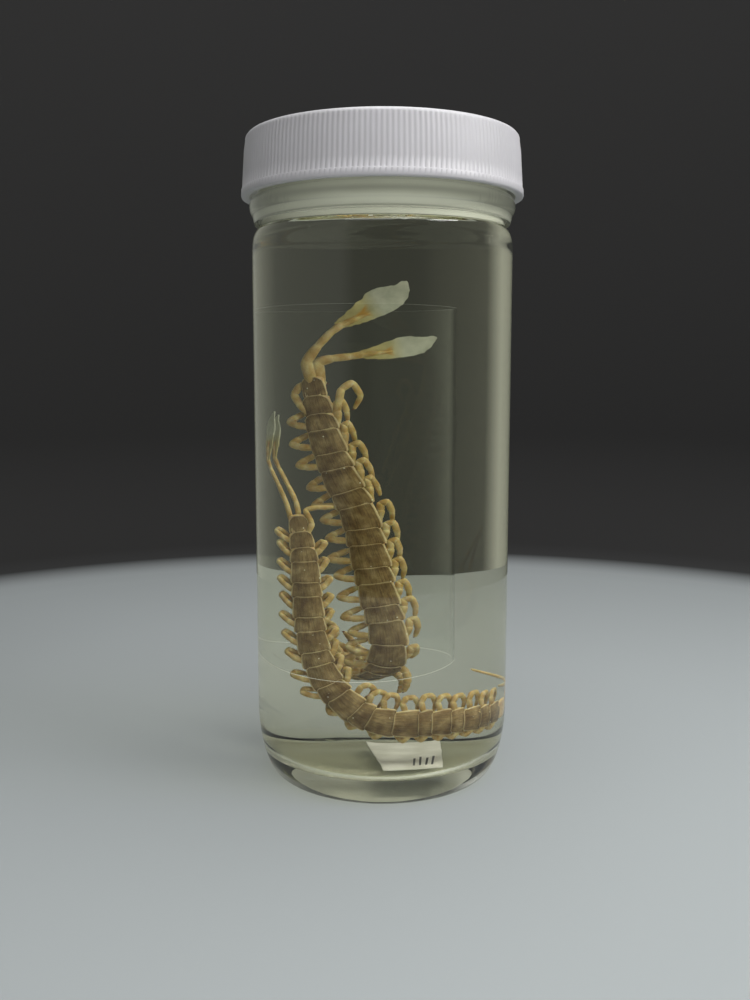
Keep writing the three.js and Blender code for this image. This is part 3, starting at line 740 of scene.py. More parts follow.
def ultimate_leg(name, joints, radii, leaf_tip, leaf_up, breadth, keel=1.0):
    """The stem and the leaf of a last leg. The keel is how far the leaf's lower edge hangs."""
    corners = [Vector(p) for p in joints]
    root = corners[-1]
    along = Vector(leaf_tip) - root
    length = along.length + LEAF_LAP
    along.normalize()
    up = Vector(leaf_up)
    up = (up - along * up.dot(along)).normalized()
    face = along.cross(up)
    stem_corners = corners + [root + along * length * 0.22, root + along * length * 0.38]
    line, marks = limb_line(stem_corners, cut=0.3)
    stem = tube(name, 14, jointed_rings(radii + [0.52, 0.16], swell=0.04, neck=0.92, first=-0.35))
    laid(stem, line, marks)

    leaf = primitive("grid", name + "_leaf", x_subdivisions=64, y_subdivisions=20, size=1.0, calc_uvs=True)
    leaf.data.uv_layers[0].name = "along"
    for v in leaf.data.vertices:
        share, across = v.co.x + 0.5, v.co.y + 0.5
        low, high = edge_height(LEAF_LOWER, share), edge_height(LEAF_UPPER, share)
        low *= keel if low < 0 else 1
        torn = 0.022 + 0.16 * max(0, share - 0.7)
        nibble = torn * noise.noise(Vector((share * 22, across * 2, breadth))) * (abs(across - 0.5) * 2) ** 4
        y = low + (high - low) * across + nibble
        ripple = 0.05 * breadth * noise.noise(Vector((share * 3.2, y * 2.5, breadth * 3)))
        ripple += 0.02 * breadth * math.sin(share * 16 + y * 5) * abs(y) * 2 * share
        v.co = (root + along * (share * length - LEAF_LAP) + up * (y * breadth) + face * ripple) * MM
    return stem, applied(leaf, "SOLIDIFY", thickness=0.26 * MM, offset=0.0)


ULTIMATE_RADII = [1.08, 1.12, 0.80, 0.72, 0.74]
main_last = [
    ultimate_leg("ultimate_leg_right", [
        (-11.9, -4.3, 88.6), (-13.4, -6.0, 93.6), (-11.3, -6.5, 96.9), (-9.0, -6.7, 99.8),
        (-7.2, -6.8, 101.4),
    ], ULTIMATE_RADII, (5.6, -6.4, 107.6), (-0.5, -0.1, 0.85), 6.2, 0.62),
    ultimate_leg("ultimate_leg_left", [
        (-10.6, -4.0, 88.6), (-11.1, -4.6, 93.6), (-8.6, -5.0, 94.4), (-5.5, -5.3, 94.8), (-3.4, -5.3, 95.2),
    ], ULTIMATE_RADII, (9.5, -5.2, 96.9), (-0.15, 0.35, 0.93), 4.4),
]


# The head of the main animal: a flat shield over soft flesh, with four small eyes at each front corner,
# two jointed feelers, and beneath it the venom claws on their plate and a pair of short palps.
HEAD_HALF = MAIN_WIDTH * 0.36
SHIELD_EDGE = [(0, 0.78), (0.08, 0.9), (0.25, 0.99), (0.45, 1.0), (0.62, 0.94), (0.78, 0.80), (0.9, 0.58),
               (0.97, 0.36), (1.0, 0.2)]


def bump_at(place, width):
    """A smooth bump of height 1: how high it is at a place, for its half width."""
    return math.exp(-((place / width) ** 2))


def plate_shaped(name, columns, rows, thickness, shape, inward=1.0):
    """A plate drawn as a sheet: shape gives x, y and z for its place across (-1 to 1) and along (0 to 1).
    It gets its thickness on the inner side."""
    piece = primitive("grid", name, x_subdivisions=columns, y_subdivisions=rows, size=2.0, calc_uvs=True)
    piece.data.uv_layers[0].name = "along"
    for v in piece.data.vertices:
        v.co = shape(v.co.x, (v.co.y + 1) / 2)
    return applied(piece, "SOLIDIFY", thickness=thickness, offset=inward)


def shield_point(across, along):
    half = HEAD_HALF * edge_height(SHIELD_EDGE, min(along, 1.0))
    notch = 0.14 * bump_at(across * half, 0.35) * max(0, along - 0.8) * 5
    lift = 1.20 * (1 - 0.80 * abs(across) ** 2.3) * (1 - 0.6 * max(0, (along - 0.5) / 0.5) ** 2)
    groove = 0.07 * bump_at(across * half, 0.12) * (1 if along < 0.92 else 0)
    groove += 0.05 * bump_at(abs(across) - 0.42, 0.05) * max(0, 0.4 - along) * 2.5
    z = main.head_start() - 0.45 + (HEAD_LENGTH + 0.5) * along - notch
    return Vector((across * half, lift - groove + (0.10 if along < 0.02 else 0), z))


head_shield = laid(plate_shaped("head_shield", 40, 34, 0.16, shield_point), main)

EYE_PLACES = ((0.90, 0.73), (0.93, 0.80), (0.80, 0.80), (0.82, 0.87))
eyes = []
for side_sign in (1, -1):
    for across, along in EYE_PLACES:
        place = shield_point(side_sign * across, along)
        eye = primitive("uv_sphere", "eye", segments=14, ring_count=9, radius=0.17, location=place)
        bpy.ops.object.transform_apply(location=True)
        eyes.append(laid(eye, main))
eyes = joined(eyes, "eyes")

ANTENNA_ARTICLES = 24
ANTENNA_BASE, ANTENNA_TIP = 0.5, 0.26
antenna_rings = [(-0.9, 0.3)]
for i in range(ANTENNA_ARTICLES):
    wide = ANTENNA_BASE + (ANTENNA_TIP - ANTENNA_BASE) * i / ANTENNA_ARTICLES
    antenna_rings += [(i + share, wide * fullness) for share, fullness in (
        (0.04, 0.86), (0.22, 0.98), (0.7, 1.04), (0.94, 0.98))]
antenna_rings += [(ANTENNA_ARTICLES + 0.1, 0.22), (ANTENNA_ARTICLES + 0.5, 0.1)]
antenna_model = tube("antenna_model", 12, antenna_rings)


def antenna_along(route, thickness=1.0):
    steps = 60
    points = [spline_point(route, i / steps) for i in range(steps + 1)]
    line = Line(points, [ASKEW] * len(points))
    antenna = copy_of(antenna_model, "antenna")
    for v in antenna.data.vertices:
        v.co = (v.co.x * thickness, v.co.y * thickness, v.co.z * line.length / ANTENNA_ARTICLES)
    return laid(antenna, line)


head_tip, tip_side, _, tip_ahead = main.at(main.head_start() + HEAD_LENGTH)
main_feelers = []
for side_sign, route in (
    (1, [(-9.3, 9.6, 39.6), (-10.4, 9.9, 43.4), (-11.2, 11.2, 47.2), (-11.6, 12.6, 51.0)]),
    (-1, [(-12.6, 8.9, 38.6), (-13.6, 9.0, 42.0), (-13.6, 10.0, 46.0), (-13.0, 11.8, 49.5)]),
):
    root = head_tip + tip_side * (side_sign * 0.85)
    points = [root - tip_ahead * 0.5, root + tip_ahead * 1.6] + [Vector(p) for p in route]
    main_feelers.append(antenna_along(points))


def under_head(side_sign, *places):
    """Places under the head, each given as how far out, forward and below it lies."""
    centre, side, back, ahead = main.at(main.head_start() + HEAD_LENGTH * 0.3)
    return [
        centre + side * (side_sign * out) + ahead * forward - back * under for out, forward, under in places
    ]


VENOM_RADII = [0.98, 0.98, 0.78, 0.6, 0.42]
PALP_RADII = [0.34, 0.36, 0.30, 0.16]
venom_model = tube("venom_leg_model", 16, jointed_rings(VENOM_RADII, swell=0.06, first=-0.3))
palp_model = tube("palp_model", 10, jointed_rings(PALP_RADII, first=-0.3))
VENOM_CLAW_RINGS = [
    (-0.1, 0.3), (0.0, 0.42), (0.5, 0.45), (1.0, 0.38), (1.6, 0.28), (2.2, 0.17), (2.8, 0.07), (3.0, 0.02),
]
venom_legs, venom_claws = [], []
for side_sign in (1, -1):
    leg = under_head(
        side_sign,
        (0.9, -1.4, 0.9), (2.15, 0.1, 1.35), (2.35, 1.3, 1.55), (1.95, 2.3, 1.65), (1.45, 2.8, 1.7))
    hook = under_head(side_sign, (1.75, 2.5, 1.68), (1.2, 3.15, 1.75), (0.55, 3.5, 1.8), (0.12, 3.45, 1.8))
    palp = under_head(side_sign, (0.75, 1.9, 0.9), (0.95, 2.7, 1.25), (0.7, 3.4, 1.35), (0.35, 3.7, 1.2))
    venom_legs.append(leg_along("venom_leg", leg, model=venom_model)[0])
    venom_claws.append(laid(tube("venom_claw", 12, VENOM_CLAW_RINGS), *limb_line(hook, cut=0.45)))
    venom_legs.append(leg_along("palp", palp, model=palp_model)[0])
venom_claws = joined(venom_claws, "venom_claws")


def coxa_point(across, along):
    half = 1.75 * (0.82 + 0.18 * math.sin(math.pi * min(along * 1.1, 1)))
    teeth = 0.22 * max(0, math.sin(abs(across) * math.pi * 1.05)) if along > 0.97 else 0
    cleft = 0.3 * bump_at(across * half, 0.16) * max(0, along - 0.85) * 6.6
    lift = 1.62 + 0.16 * (1 - across * across)
    return Vector((across * half, -lift, main.head_start() - 0.9 + 3.5 * along + teeth - cleft))


venom_plate = laid(plate_shaped("venom_plate", 28, 16, 0.16, coxa_point, inward=-1.0), main)


# The back plates: hard, flat and keeled, with a thickened rim at each side. The rear edge of each lies
# over the front of the next, and long and short ones alternate.
KEELS = ((0.0, 0.05), (0.30, 0.04), (0.62, 0.03))


def back_plate(path, number, columns, rows):
    length, width = path.size(number)
    start = path.rear(number)
    overlap = 0.42 * path.scale

    def shape(across, along):
        half = width / 2 * (0.91 + 0.15 * min(1, along * 1.2) ** 0.8)
        corner = 0.55 * max(0, (abs(across) - 0.72) / 0.28) ** 2
        if number >= SEGMENTS - 2:
            corner = 1.3 * max(0, (abs(across) - 0.3) / 0.7) ** 2.2
        z = start - overlap + corner * (1 - along) ** 3 + (length + overlap - 0.05) * along
        z += 0.10 * (1 - across * across) * (1 - along) ** 2
        half *= 1 - 0.05 * max(0, along - 0.9) * 10
        y = width * 0.205 * (1 - 0.80 * abs(across) ** 2.5) + 0.30 * (1 - along) ** 2 - 0.14 * along**2
        y += 0.11 * bump_at(abs(across) - 0.93, 0.05) * (1 - 0.5 * along)
        y += 0.05 * bump_at(along, 0.05)
        y += sum(height * bump_at(abs(across) - keel, 0.035) for keel, height in KEELS)
        y += 0.05 * noise.noise(Vector((across * 2.1, along * 1.7, number * 5.3)))
        return Vector((across * half, y, z))

    return laid(plate_shaped("back_plate", columns, rows, 0.15, shape), path)


def belly_plate(number):
    """A belly plate of the main animal, with a furrow's rim along each side."""
    length, width = main.size(number)

    def shape(across, along):
        half = width / 2 * (0.56 + 0.06 * math.sin(math.pi * along))
        z = main.rear(number) + length * (0.03 + 0.92 * along)
        y = -width * (0.238 - 0.028 * across**2) + 0.05 * (2 * along - 1) ** 4
        return Vector((across * half, y + 0.05 * bump_at(abs(across) - 0.5, 0.04), z))

    return laid(plate_shaped("belly_plate", 20, 9, 0.12, shape, inward=-1.0), main)


numbers = range(1, SEGMENTS + 1)
back_plates = joined([back_plate(main, n, 54, 16) for n in numbers], "back_plates")
belly_plates = joined([belly_plate(n) for n in numbers], "belly_plates")
leg_claws = joined(main_claws, "leg_claws")


# The finishes of the body: tanned plates, soft hide on flanks and limbs, and clear leaves. In the fluid
# the hide is only a little denser than what stands round it, so it shines little.
HIDE_IOR = 1.16


class BodyFinish(Finish):
    """A finish with what plates, hide and leaves need besides."""

    def own_map(self):
        """The piece's own map, as its two sockets across and along."""
        plane = self.node("UVMap")
        plane.uv_map = "along"
        return self.node("SeparateXYZ", Vector=plane).outputs[:2]

    def slope(self, value, start, gain):
        """How far a value is past a start, times a gain."""
        return self.maths("MULTIPLY", self.maths("SUBTRACT", value, start), gain)

    def clamped(self, value):
        """A value kept between 0 and 1."""
        return self.node("Clamp", Value=value)

    def times(self, first, second, share=1.0):
        """A colour tinted by another, in full or by a share."""
        return self.blended(share, first, second, "MULTIPLY")


def cuticle(name, colours, rim, streaks):
    """Tanned plate: lengthwise streaks on the plate's own map, a pale thin rim at the rear and sides,
    painted shade just inside the rear rim and towards the front, and tiny painted glints.
    """
    finish = BodyFinish(name)
    maths, slope = finish.maths, finish.slope
    u, v = finish.own_map()
    x, _, z = finish.node("SeparateXYZ", Vector=finish.place()).outputs
    shift = maths("MULTIPLY_ADD", z, 130.0, maths("MULTIPLY", x, 90.0))
    lines = finish.node("CombineXYZ", X=maths("MULTIPLY", u, 34.0), Y=maths("MULTIPLY", v, 1.6), Z=shift)
    grain = finish.node("TexNoise", Vector=lines, Scale=1.0, Detail=4.0, Roughness=0.6)
    blotch = finish.noise(420.0, 3.0, 0.55)
    base = finish.ramp(blotch, *zip((0.30, 0.52, 0.72), colours))
    dark = finish.ramp(
        grain, (0.34, (0.42, 0.38, 0.32)), (0.50, (0.95, 0.95, 0.93)), (0.66, (1.35, 1.30, 1.20)))
    # Painted shade: darker just inside the rear rim and towards the front, where the plate goes under the
    # one ahead of it
    shade = finish.ramp(
        v, (0.0, (1.0, 1.0, 1.0)), (0.10, (0.74, 0.72, 0.68)), (0.34, (1.0, 1.0, 1.0)),
        (0.88, (1.0, 1.0, 1.0)), (1.0, (0.62, 0.58, 0.5)))
    tone = finish.times(finish.times(base, dark, streaks), shade)

    side_rim = slope(maths("ABSOLUTE", maths("SUBTRACT", u, 0.5)), 0.445, 26.0)
    rear_rim = slope(0.055, v, 13.0)
    edge = finish.clamped(maths("MAXIMUM", side_rim, rear_rim))
    tone = finish.blended(maths("MULTIPLY", edge, maths("MULTIPLY", blotch, 1.6)), tone, rim)

    # Painted glints: tiny pale dots in some cells of a fine pattern
    glint_cells = finish.node("TexVoronoi", Vector=finish.place(), Scale=620.0)
    chosen = slope(finish.node("SeparateColor", Color=glint_cells.outputs["Color"]), 0.55, 20.0)
    glint_dot = slope(0.10, glint_cells.outputs["Distance"], 30.0)
    tone = finish.blended(finish.clamped(maths("MINIMUM", chosen, glint_dot)), tone, (0.90, 0.86, 0.70))

    relief = maths("MULTIPLY_ADD", finish.noise(3200.0, 2.0), 0.25, grain)
    bump = finish.node("Bump", Height=relief, Strength=0.7, Distance=0.00009)
    return finish.surfaced(finish.node(
        "BsdfPrincipled", Base_Color=tone, Roughness=0.42, IOR=HIDE_IOR, Normal=bump,
        Subsurface_Weight=0.35, Subsurface_Radius=(1.0, 0.6, 0.25), Subsurface_Scale=0.0005))


def soft_hide(name, colours, bands, scale=500.0):
    """Soft hide of a limb or flank: bands has the tints along one article of a limb, on its own map."""
    finish = BodyFinish(name)
    article = finish.maths("FRACT", finish.own_map()[1])
    base = finish.ramp(finish.noise(scale, 4.0, 0.6), *zip((0.3, 0.5, 0.7), colours))
    tone = finish.times(base, finish.ramp(article, *bands))
    bump = finish.node("Bump", Height=finish.noise(scale * 7, 3.0), Strength=0.5, Distance=0.00007)
    return finish.surfaced(finish.node(
        "BsdfPrincipled", Base_Color=tone, Roughness=0.4, IOR=HIDE_IOR, Normal=bump,
        Subsurface_Weight=0.7, Subsurface_Radius=(1.0, 0.62, 0.22), Subsurface_Scale=0.0006))


def leaf_hide(name):
    """Thin clear leaf: greyish, lit through, with a tan core that forks and fades out half way along."""
    finish = BodyFinish(name)
    maths, slope = finish.maths, finish.slope
    u, v = finish.own_map()
    cloud = finish.noise(380.0, 4.0, 0.6)
    wander = maths("MULTIPLY_ADD", cloud, 0.24, -0.12)
    off_core = maths("ABSOLUTE", maths("ADD", maths("SUBTRACT", v, 0.44), wander))
    fork = maths("MAXIMUM", 0.0, slope(u, 0.34, 3.4))
    off_core = maths("ABSOLUTE", maths("SUBTRACT", off_core, maths("MULTIPLY", fork, 0.5)))
    core = finish.clamped(maths("MINIMUM", slope(0.15, off_core, 9.0), slope(0.46, u, 14.0)))
    grey = finish.ramp(cloud, (0.3, (0.55, 0.57, 0.48)), (0.7, (0.82, 0.83, 0.73)))
    flange = finish.ramp(u, (0.0, (0.88, 0.72, 0.36)), (0.40, (0.95, 0.86, 0.56)), (0.58, (1.0, 1.0, 1.0)))
    tone = finish.blended(core, finish.times(grey, flange), (0.60, 0.36, 0.10))
    body = finish.node("BsdfPrincipled", Base_Color=tone, Roughness=0.45, IOR=1.1)
    half_lit = finish.mixed(0.35, body, finish.node("BsdfTranslucent", Color=tone))
    clear = finish.node("BsdfTransparent", Color=(0.93, 0.93, 0.88, 1))
    return finish.surfaced(finish.mixed(maths("MULTIPLY_ADD", core, -0.16, 0.18), half_lit, clear))


def horn(name, colour, roughness):
    """Hard dark horn, paler in patches."""
    finish = Finish(name)
    pale = tuple(min(1.0, c * 2.4 + 0.01) for c in colour)
    tone = finish.ramp(finish.noise(900.0, 3.0), (0.35, colour), (0.75, pale))
    return finish.surfaced(finish.node("BsdfPrincipled", Base_Color=tone, Roughness=roughness, IOR=1.3))


PLATE_TONES = [(0.145, 0.090, 0.040), (0.262, 0.184, 0.086), (0.410, 0.312, 0.164)]
BELLY_TONES = [(0.40, 0.27, 0.10), (0.50, 0.36, 0.15), (0.58, 0.44, 0.22)]
FLANK_TONES = [(0.48, 0.30, 0.13), (0.66, 0.48, 0.23), (0.80, 0.66, 0.40)]
LIMB_TONES = [(0.40, 0.275, 0.11), (0.54, 0.42, 0.20), (0.65, 0.565, 0.34)]
PLATE_RIM = (0.70, 0.58, 0.34)
NO_BANDS = [(0.0, (1.0, 1.0, 1.0)), (1.0, (1.0, 1.0, 1.0))]
LIMB_BANDS = [(0.0, (1.08, 1.11, 1.13)), (0.12, (0.97, 0.96, 0.95)), (0.45, (0.86, 0.79, 0.65)),
              (0.80, (0.96, 0.95, 0.93)), (1.0, (1.10, 1.14, 1.19))]
plate_cuticle = cuticle("plate_cuticle", PLATE_TONES, PLATE_RIM, 0.55)
belly_cuticle = cuticle("belly_cuticle", BELLY_TONES, PLATE_RIM, 0.5)
flank_hide = soft_hide("flank_hide", FLANK_TONES, NO_BANDS, scale=650.0)
limb_hide = soft_hide("limb_hide", LIMB_TONES, LIMB_BANDS)
leaf_cuticle = leaf_hide("leaf_cuticle")
claw_horn = horn("claw_horn", (0.11, 0.035, 0.008), 0.25)
eye_black = horn("eye_black", (0.012, 0.010, 0.009), 0.12)


# The skin: trunk, limbs and leaves grown together in one closed hide, so that no seam shows where a leg
# leaves the flank. Each part keeps its own finish.
FLANK, LIMB, LEAF = range(3)


def dressed(piece, finish):
    """The piece with the skin's three finishes, all of it in the one meant."""
    clad(piece, flank_hide, limb_hide, leaf_cuticle)
    for face in piece.data.polygons:
        face.material_index = finish
    return piece


def united(base, others):
    """One closed skin: each of the others is melted into the base."""
    for other in others:
        applied(base, "BOOLEAN", operation="UNION", solver="MANIFOLD", object=other)
        bpy.data.objects.remove(other)
    return base


def skin_of(name, path, sides, legs, limbs, last_legs):
    """The whole skin of an animal. Its odd legs go in together and then its even ones, because a leg
    may touch the next one."""
    skin = dressed(trunk_of(name, path, sides), FLANK)
    odd = joined([dressed(leg, LIMB) for n, leg in legs if n % 2], "odd_legs")
    even = joined([dressed(leg, LIMB) for n, leg in legs if not n % 2], "even_legs")
    limbs = [dressed(limb, LIMB) for limb in limbs]
    tails = [united(dressed(leaf, LEAF), [dressed(stem, LIMB)]) for stem, leaf in last_legs]
    return united(skin, [odd, even, *limbs, *tails])


skin = skin_of("skin", main, 36, main_legs, main_feelers + venom_legs, main_last)
smoothed(skin, 55)
TRUNKS = [f"trunk_{i}" for i in range(1, 7)]
LEGS = [f"leg_{side}_{n:02d}" for side in ("left", "right") for n in range(1, SEGMENTS)]
stands_for(
    skin, "limb_cuticle", *TRUNKS, "head", "antenna_left", "antenna_right", *LEGS,
    "ultimate_leg_left", "ultimate_leg_right",
)
for piece, finish, slot, nodes in (
    (back_plates, plate_cuticle, "tergite_cuticle", TRUNKS),
    (belly_plates, belly_cuticle, "tergite_cuticle", TRUNKS),
    (head_shield, plate_cuticle, "tergite_cuticle", ["head"]),
    (venom_plate, belly_cuticle, "tergite_cuticle", ["head"]),
    (venom_claws, claw_horn, "limb_cuticle", ["head"]),
    (eyes, eye_black, "limb_cuticle", ["head"]),
    (leg_claws, claw_horn, "limb_cuticle", LEGS),
):
    clad(piece, finish)
    smoothed(piece, 45)
    stands_for(piece, slot, *nodes)


# The second animal, a little smaller and made more plainly: it hangs tail up against the wall, bends
# and lies along the floor to the right, on its right side.
SECOND_WIDTH = 6.6
second = BodyPath([
    (-15.9, -10.9, 60.6, 0.0, -1.0, 0.0),
    (-14.7, -11.2, 52.0, 0.0, -1.0, 0.0),
    (-14.1, -11.3, 43.0, 0.0, -1.0, 0.0),
    (-13.3, -11.4, 34.5, 0.0, -1.0, 0.0),
    (-12.0, -11.5, 28.9, 0.0, -1.0, 0.0),
    (-9.8, -11.7, 23.9, 0.0, -1.0, -0.1),
    (-6.6, -11.8, 19.9, 0.0, -1.0, -0.1),
    (-2.8, -11.9, 16.9, 0.0, -1.0, -0.1),
    (1.8, -11.9, 15.5, 0.0, -1.0, 0.0),
    (7.0, -11.7, 15.3, 0.05, -1.0, 0.0),
    (11.4, -10.9, 15.2, 0.2, -0.98, 0.0),
    (15.2, -9.5, 15.1, 0.4, -0.92, 0.0),
    (18.6, -7.0, 14.8, 0.6, -0.8, 0.0),
    (20.8, -3.8, 14.5, 0.8, -0.6, 0.0),
    (22.0, -0.6, 14.4, 0.95, -0.3, 0.0),
    (22.3, 2.4, 14.3, 1.0, 0.0, 0.0),
], 0.88, SECOND_WIDTH)
LAST_LYING_SEGMENT = 10
LAST_SECOND_LEG = [
    (-14.6, -11.2, 55.4), (-13.7, -11.2, 57.4), (-12.9, -11.3, 59.2),
    (-14.4, -11.2, 62.2), (-11.6, -10.7, 62.8), (-8.9, -10.2, 62.8),
]
second_legs = []
for side_sign in (1, -1):
    for n in range(1, SEGMENTS):
        reach, lean, tuck = leg_pose(n, side_sign)
        if n <= LAST_LYING_SEGMENT:
            reach, lean, shape = (reach + 2.0, lean, "arch") if side_sign > 0 else (1.6, lean + 0.2, "loop")
        else:
            waver, shape = 0.25 * math.sin(n * 2.3 + side_sign), "vee"
            reach, lean = (2.6 + waver, 2.8 - waver) if side_sign > 0 else (3.5 + waver, 3.1 - waver)
        corners = leg_joints(second, n, side_sign, (reach, lean, tuck), 0.5, shape)
        if n == SEGMENTS - 1 and side_sign > 0:
            corners = [Vector(p) for p in LAST_SECOND_LEG]
        second_legs.append((n, leg_along(f"second_leg_{n}", corners, 0.84)[0]))
second_feelers = [
    antenna_along([Vector(p) for p in route], 0.9)
    for route in (
        [(22.0, 0.4, 14.8), (22.4, 2.6, 16.8), (21.3, 4.4, 18.9), (18.2, 4.8, 21.2), (14.6, 4.4, 23.4)],
        [(22.0, 0.4, 13.8), (21.6, 5.0, 13.4), (19.2, 9.4, 14.6), (16.2, 12.8, 16.6)],
    )
]
SECOND_ULTIMATE_RADII = [0.6, 0.55, 0.5, 0.45, 0.45]
second_last = [
    ultimate_leg("second_ultimate_right", [
        (-16.7, -10.7, 58.4), (-17.9, -9.8, 63.4), (-19.2, -8.2, 66.8), (-20.6, -6.0, 70.4),
        (-21.0, -4.8, 72.4),
    ], SECOND_ULTIMATE_RADII, (-19.6, -2.6, 82.6), (0.25, -0.9, 0.1), 3.4),
    ultimate_leg("second_ultimate_left", [
        (-15.2, -10.7, 58.4), (-15.8, -9.8, 63.6), (-17.0, -8.0, 66.6), (-18.6, -5.4, 70.6),
        (-19.2, -4.0, 72.6),
    ], SECOND_ULTIMATE_RADII, (-18.4, -0.6, 81.6), (0.3, -0.9, 0.1), 3.2),
]
second_skin = skin_of("companion_skin", second, 24, second_legs, second_feelers, second_last)
second_plates = joined([back_plate(second, n, 36, 12) for n in numbers], "companion_plates")
clad(second_plates, plate_cuticle)
for piece, angle in ((second_skin, 55), (second_plates, 45)):
    smoothed(piece, angle)
    stands_for(piece, "companion_cuticle", "companion_centipede")
for model in (plain_leg, antenna_model, venom_model, palp_model):
    bpy.data.objects.remove(model)


# The preserving fluid: clear alcohol, a little yellow, poured up to the neck. It wets the wall, where
# it climbs a millimetre, and is one still body with the specimens standing in it.
fluid = turned("fluid", [
    (0.6, 5.18), (5.0, 5.16), (10.0, 5.09),
    *arc(17.3, 14.0, 8.97, 8.97, -90, 0, 16),
    (26.27, 14.6), (26.27, 50.0), (26.27, 90.0), (26.27, 117.0), (26.07, 119.4),
    *[(radius, FLUID_LEVEL + climb) for radius, climb in (
        (25.6, 1.1), (25.2, 0.5), (24.6, 0.14), (23.6, 0.02), (18.0, 0.0), (8.0, 0.0), (0.6, 0.0))],
], JAR_SIDES)
smoothed(fluid, 40)
against_glass = Finish("fluid_against_glass")
through = against_glass.node("BsdfTransparent", Color=(0.967, 0.962, 0.91, 1))
clad(
    fluid,
    against_glass.surfaced(through),
    clear_glass("fluid_surface", FLUID_IOR, (0.99, 0.99, 0.985, 1), 0.0),
)
SURFACE_RADIUS = 25.5
for face in fluid.data.polygons:
    on_top = face.center.z > (FLUID_LEVEL - 0.1) * MM
    face.material_index = int(on_top and math.hypot(*face.center[:2]) < SURFACE_RADIUS * MM)
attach(fluid, "root")


# The lid: a white moulded plastic screw cap with fine grip ribs from the top edge down to a plain band.
# It is screwed home on the finish, and its liner seals the jar.
LID_RIBS = 176
RIB_COLUMNS = 4
RIBS_FROM, RIBS_TO, RIBS_RADIUS = 130.6, 141.5, 29.2
lid = turned("lid", [
    (1.0, 139.9), (28.0, 139.9), (28.3, 139.7), (28.75, 135.0), (28.95, 129.3), (29.1, 129.0),
    (29.6, 128.9), (30.5, 128.9), (30.78, 129.05), (30.85, 129.3), (30.8, 130.5),
    (30.55, 130.7), (30.4, 133.0), (30.05, 138.6), (29.75, 140.6),
    *arc(28.9, 140.9, 0.85, 1.1, 0, 90, 7)[1:], (20.0, 142.0), (1.0, 142.0),
], LID_RIBS * RIB_COLUMNS)


def pick_none(kind):
    """Deselects a whole mesh, so that its points or faces can be picked by their place."""
    bpy.ops.object.mode_set(mode="EDIT")
    bpy.ops.mesh.select_mode(type=kind)
    bpy.ops.mesh.select_all(action="DESELECT")
    bpy.ops.object.mode_set(mode="OBJECT")


alone(lid)
for column, rise in ((0, 0.08), (2, -0.07)):
    pick_none("VERT")
    for v in lid.data.vertices:
        across, height = math.hypot(*v.co[:2]) / MM, v.co.z / MM
        place = round(math.atan2(v.co.y, v.co.x) / (2 * math.pi) * LID_RIBS * RIB_COLUMNS) % RIB_COLUMNS
        v.select = place == column and RIBS_FROM < height < RIBS_TO and across > RIBS_RADIUS
    bpy.ops.object.mode_set(mode="EDIT")
    bpy.ops.transform.shrink_fatten(value=rise * MM)
    bpy.ops.object.mode_set(mode="OBJECT")
smoothed(lid, 50)
plastic = Finish("lid_plastic")
handled = plastic.noise(60.0, 3.0)
tone = plastic.blended(
    plastic.node("MapRange", Value=handled, From_Min=0.3, From_Max=0.75),
    (0.525, 0.515, 0.535), (0.478, 0.468, 0.483))
rough = plastic.node("MapRange", Value=handled, To_Min=0.36, To_Max=0.5)
grain = plastic.node("Bump", Height=plastic.noise(900.0, 4.0), Strength=0.18, Distance=0.00006)
clad(lid, plastic.surfaced(plastic.node(
    "BsdfPrincipled", Base_Color=tone, Roughness=rough, Normal=grain,
    Subsurface_Weight=0.25, Subsurface_Radius=(1.0, 1.0, 0.9), Subsurface_Scale=0.0015)))
stands_for(lid, "lid_plastic", "lid")


# The studio: a pale round floor that sweeps up into a dark grey wall, alike from every side, with one
# broad soft lamp overhead, a smaller one in front at each side, and two faint fills low in front that
# leave no glint on the glass.
WALL_TOP = 380.0
studio = turned("studio_sweep", [
    (10.0, 0.0), (120.0, 0.0), (232.0, 0.0), *arc(240.0, 60.0, 60.0, 60.0, -84, 0, 26), (301.0, WALL_TOP),
], 160)
alone(studio)
pick_none("FACE")
for face in studio.data.polygons:
    face.select = face.center.z > (WALL_TOP - 0.1) * MM
bpy.ops.object.mode_set(mode="EDIT")
bpy.ops.mesh.delete(type="FACE")
bpy.ops.mesh.select_all(action="SELECT")
bpy.ops.mesh.flip_normals()
bpy.ops.object.mode_set(mode="OBJECT")
smoothed(studio, 60)
paper = Finish("studio_paper")
height = paper.node("SeparateXYZ", Vector=paper.place()).outputs["Z"]
shade = paper.ramp(height, (0.0004, (0.360, 0.386, 0.388)), (0.004, (0.034, 0.0335, 0.033)))
clad(studio, paper.surfaced(paper.node("BsdfDiffuse", Color=shade)))


def soft_lamp(name, place, aim_height, width, height, watts):
    """A soft lamp turned towards the jar's axis at a height."""
    lamp = bpy.data.lights.new(name, "AREA")
    lamp.shape = "RECTANGLE"
    lamp.size, lamp.size_y = width, height
    lamp.energy = watts
    holder = bpy.data.objects.new(name, lamp)
    bpy.context.scene.collection.objects.link(holder)
    holder.location = place
    holder.rotation_euler = (Vector((0, 0, aim_height)) - Vector(place)).to_track_quat("-Z", "Y").to_euler()
    holder.visible_camera = False
    return holder


soft_lamp("lamp_over", (0.07, -0.04, 0.62), 0.05, 0.45, 0.45, 2.7)
soft_lamp("lamp_front", (-0.06, -0.24, 0.33), 0.08, 0.20, 0.20, 0.20)
soft_lamp("lamp_right", (0.24, -0.10, 0.30), 0.08, 0.16, 0.16, 0.72)
low_fill = soft_lamp("lamp_low", (0.08, -0.27, 0.12), 0.11, 0.16, 0.12, 0.22)
foot_fill = soft_lamp("lamp_foot", (0.03, -0.27, 0.016), 0.03, 0.22, 0.02, 0.045)
for fill in (low_fill, foot_fill):
    fill.visible_glossy = fill.visible_transmission = False

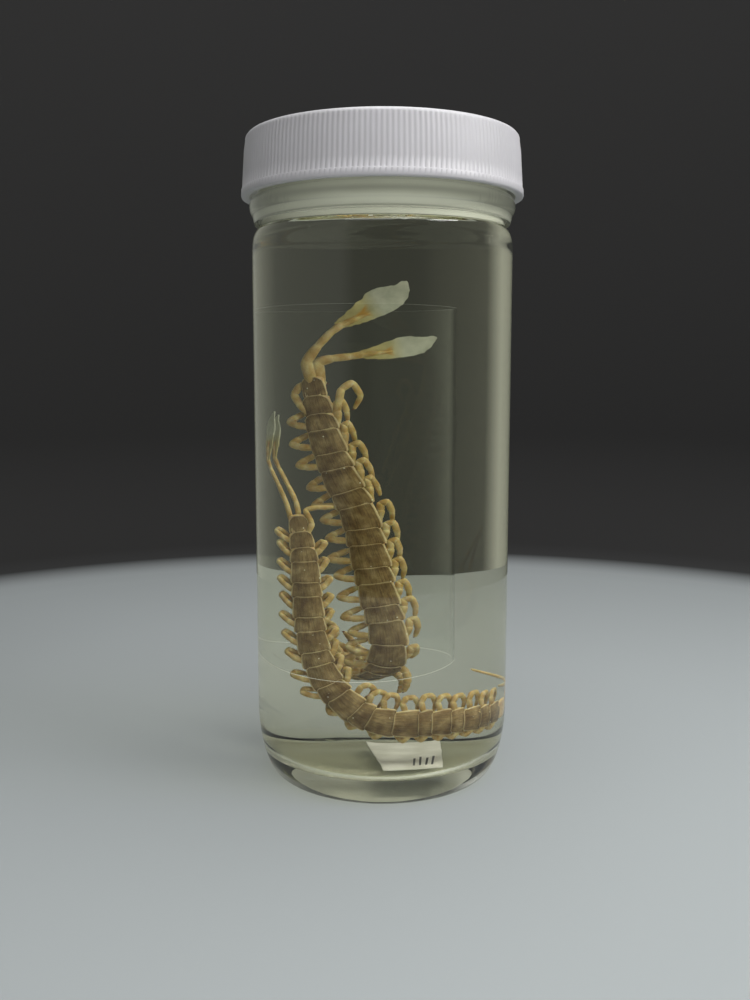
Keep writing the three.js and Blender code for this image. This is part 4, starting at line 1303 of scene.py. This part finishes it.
# A dim tent stands round the jar and glows, though it lights nothing: painted light, seen only in and
# through the glass. It glows lighter at its sides
TENT_RADIUS, TENT_HEIGHT, TENT_FOOT = 0.231, 0.36, 0.001
tent = primitive(
    "cylinder", "studio_tent", vertices=96, radius=TENT_RADIUS, depth=TENT_HEIGHT, end_fill_type="NOTHING",
    location=(0, 0, TENT_HEIGHT / 2 + TENT_FOOT),
)
bpy.ops.object.transform_apply(location=True)
tent_glow_finish = Finish("studio_tent")
across = tent_glow_finish.node("SeparateXYZ", Vector=tent_glow_finish.place()).outputs["X"]
left_to_right = tent_glow_finish.node("MapRange", Value=across, From_Min=-TENT_RADIUS, From_Max=TENT_RADIUS)
glow = tent_glow_finish.ramp(
    left_to_right, (0.0, (0.36, 0.37, 0.34)), (0.22, (0.38, 0.39, 0.36)), (0.31, (0.055, 0.057, 0.052)),
    (0.42, (0.042, 0.044, 0.041)), (0.70, (0.042, 0.044, 0.041)), (0.84, (0.13, 0.133, 0.122)),
    (1.0, (0.20, 0.203, 0.19)),
)
clad(tent, tent_glow_finish.surfaced(tent_glow_finish.node("Emission", Color=glow)))
tent.visible_camera = tent.visible_diffuse = tent.visible_shadow = False
world = bpy.data.worlds.new("studio_air")
bpy.context.scene.world = world
world.use_nodes = True
air = world.node_tree.nodes["Background"]
air.inputs["Color"].default_value = (0.55, 0.57, 0.6, 1)
air.inputs["Strength"].default_value = 0.4


# The camera stands where the photograph was taken from: a good hand's length in front of the glass, a
# little above the middle of the jar and tilted down.
view = bpy.data.cameras.new("camera")
view.lens = 37.36
view.sensor_width = 36.0
view.clip_start = 0.01
camera = bpy.data.objects.new("camera", view)
bpy.context.scene.collection.objects.link(camera)
camera.location = (-0.0016, -0.2353, 0.0927)
camera.rotation_euler = (math.radians(90 - 7.34), 0, 0)
bpy.context.scene.camera = camera
bpy.context.scene.view_settings.view_transform = "Standard"
cycles = bpy.context.scene.cycles
cycles.max_bounces = cycles.transmission_bounces = 24
cycles.transparent_max_bounces = 48
cycles.caustics_reflective = cycles.caustics_refractive = False
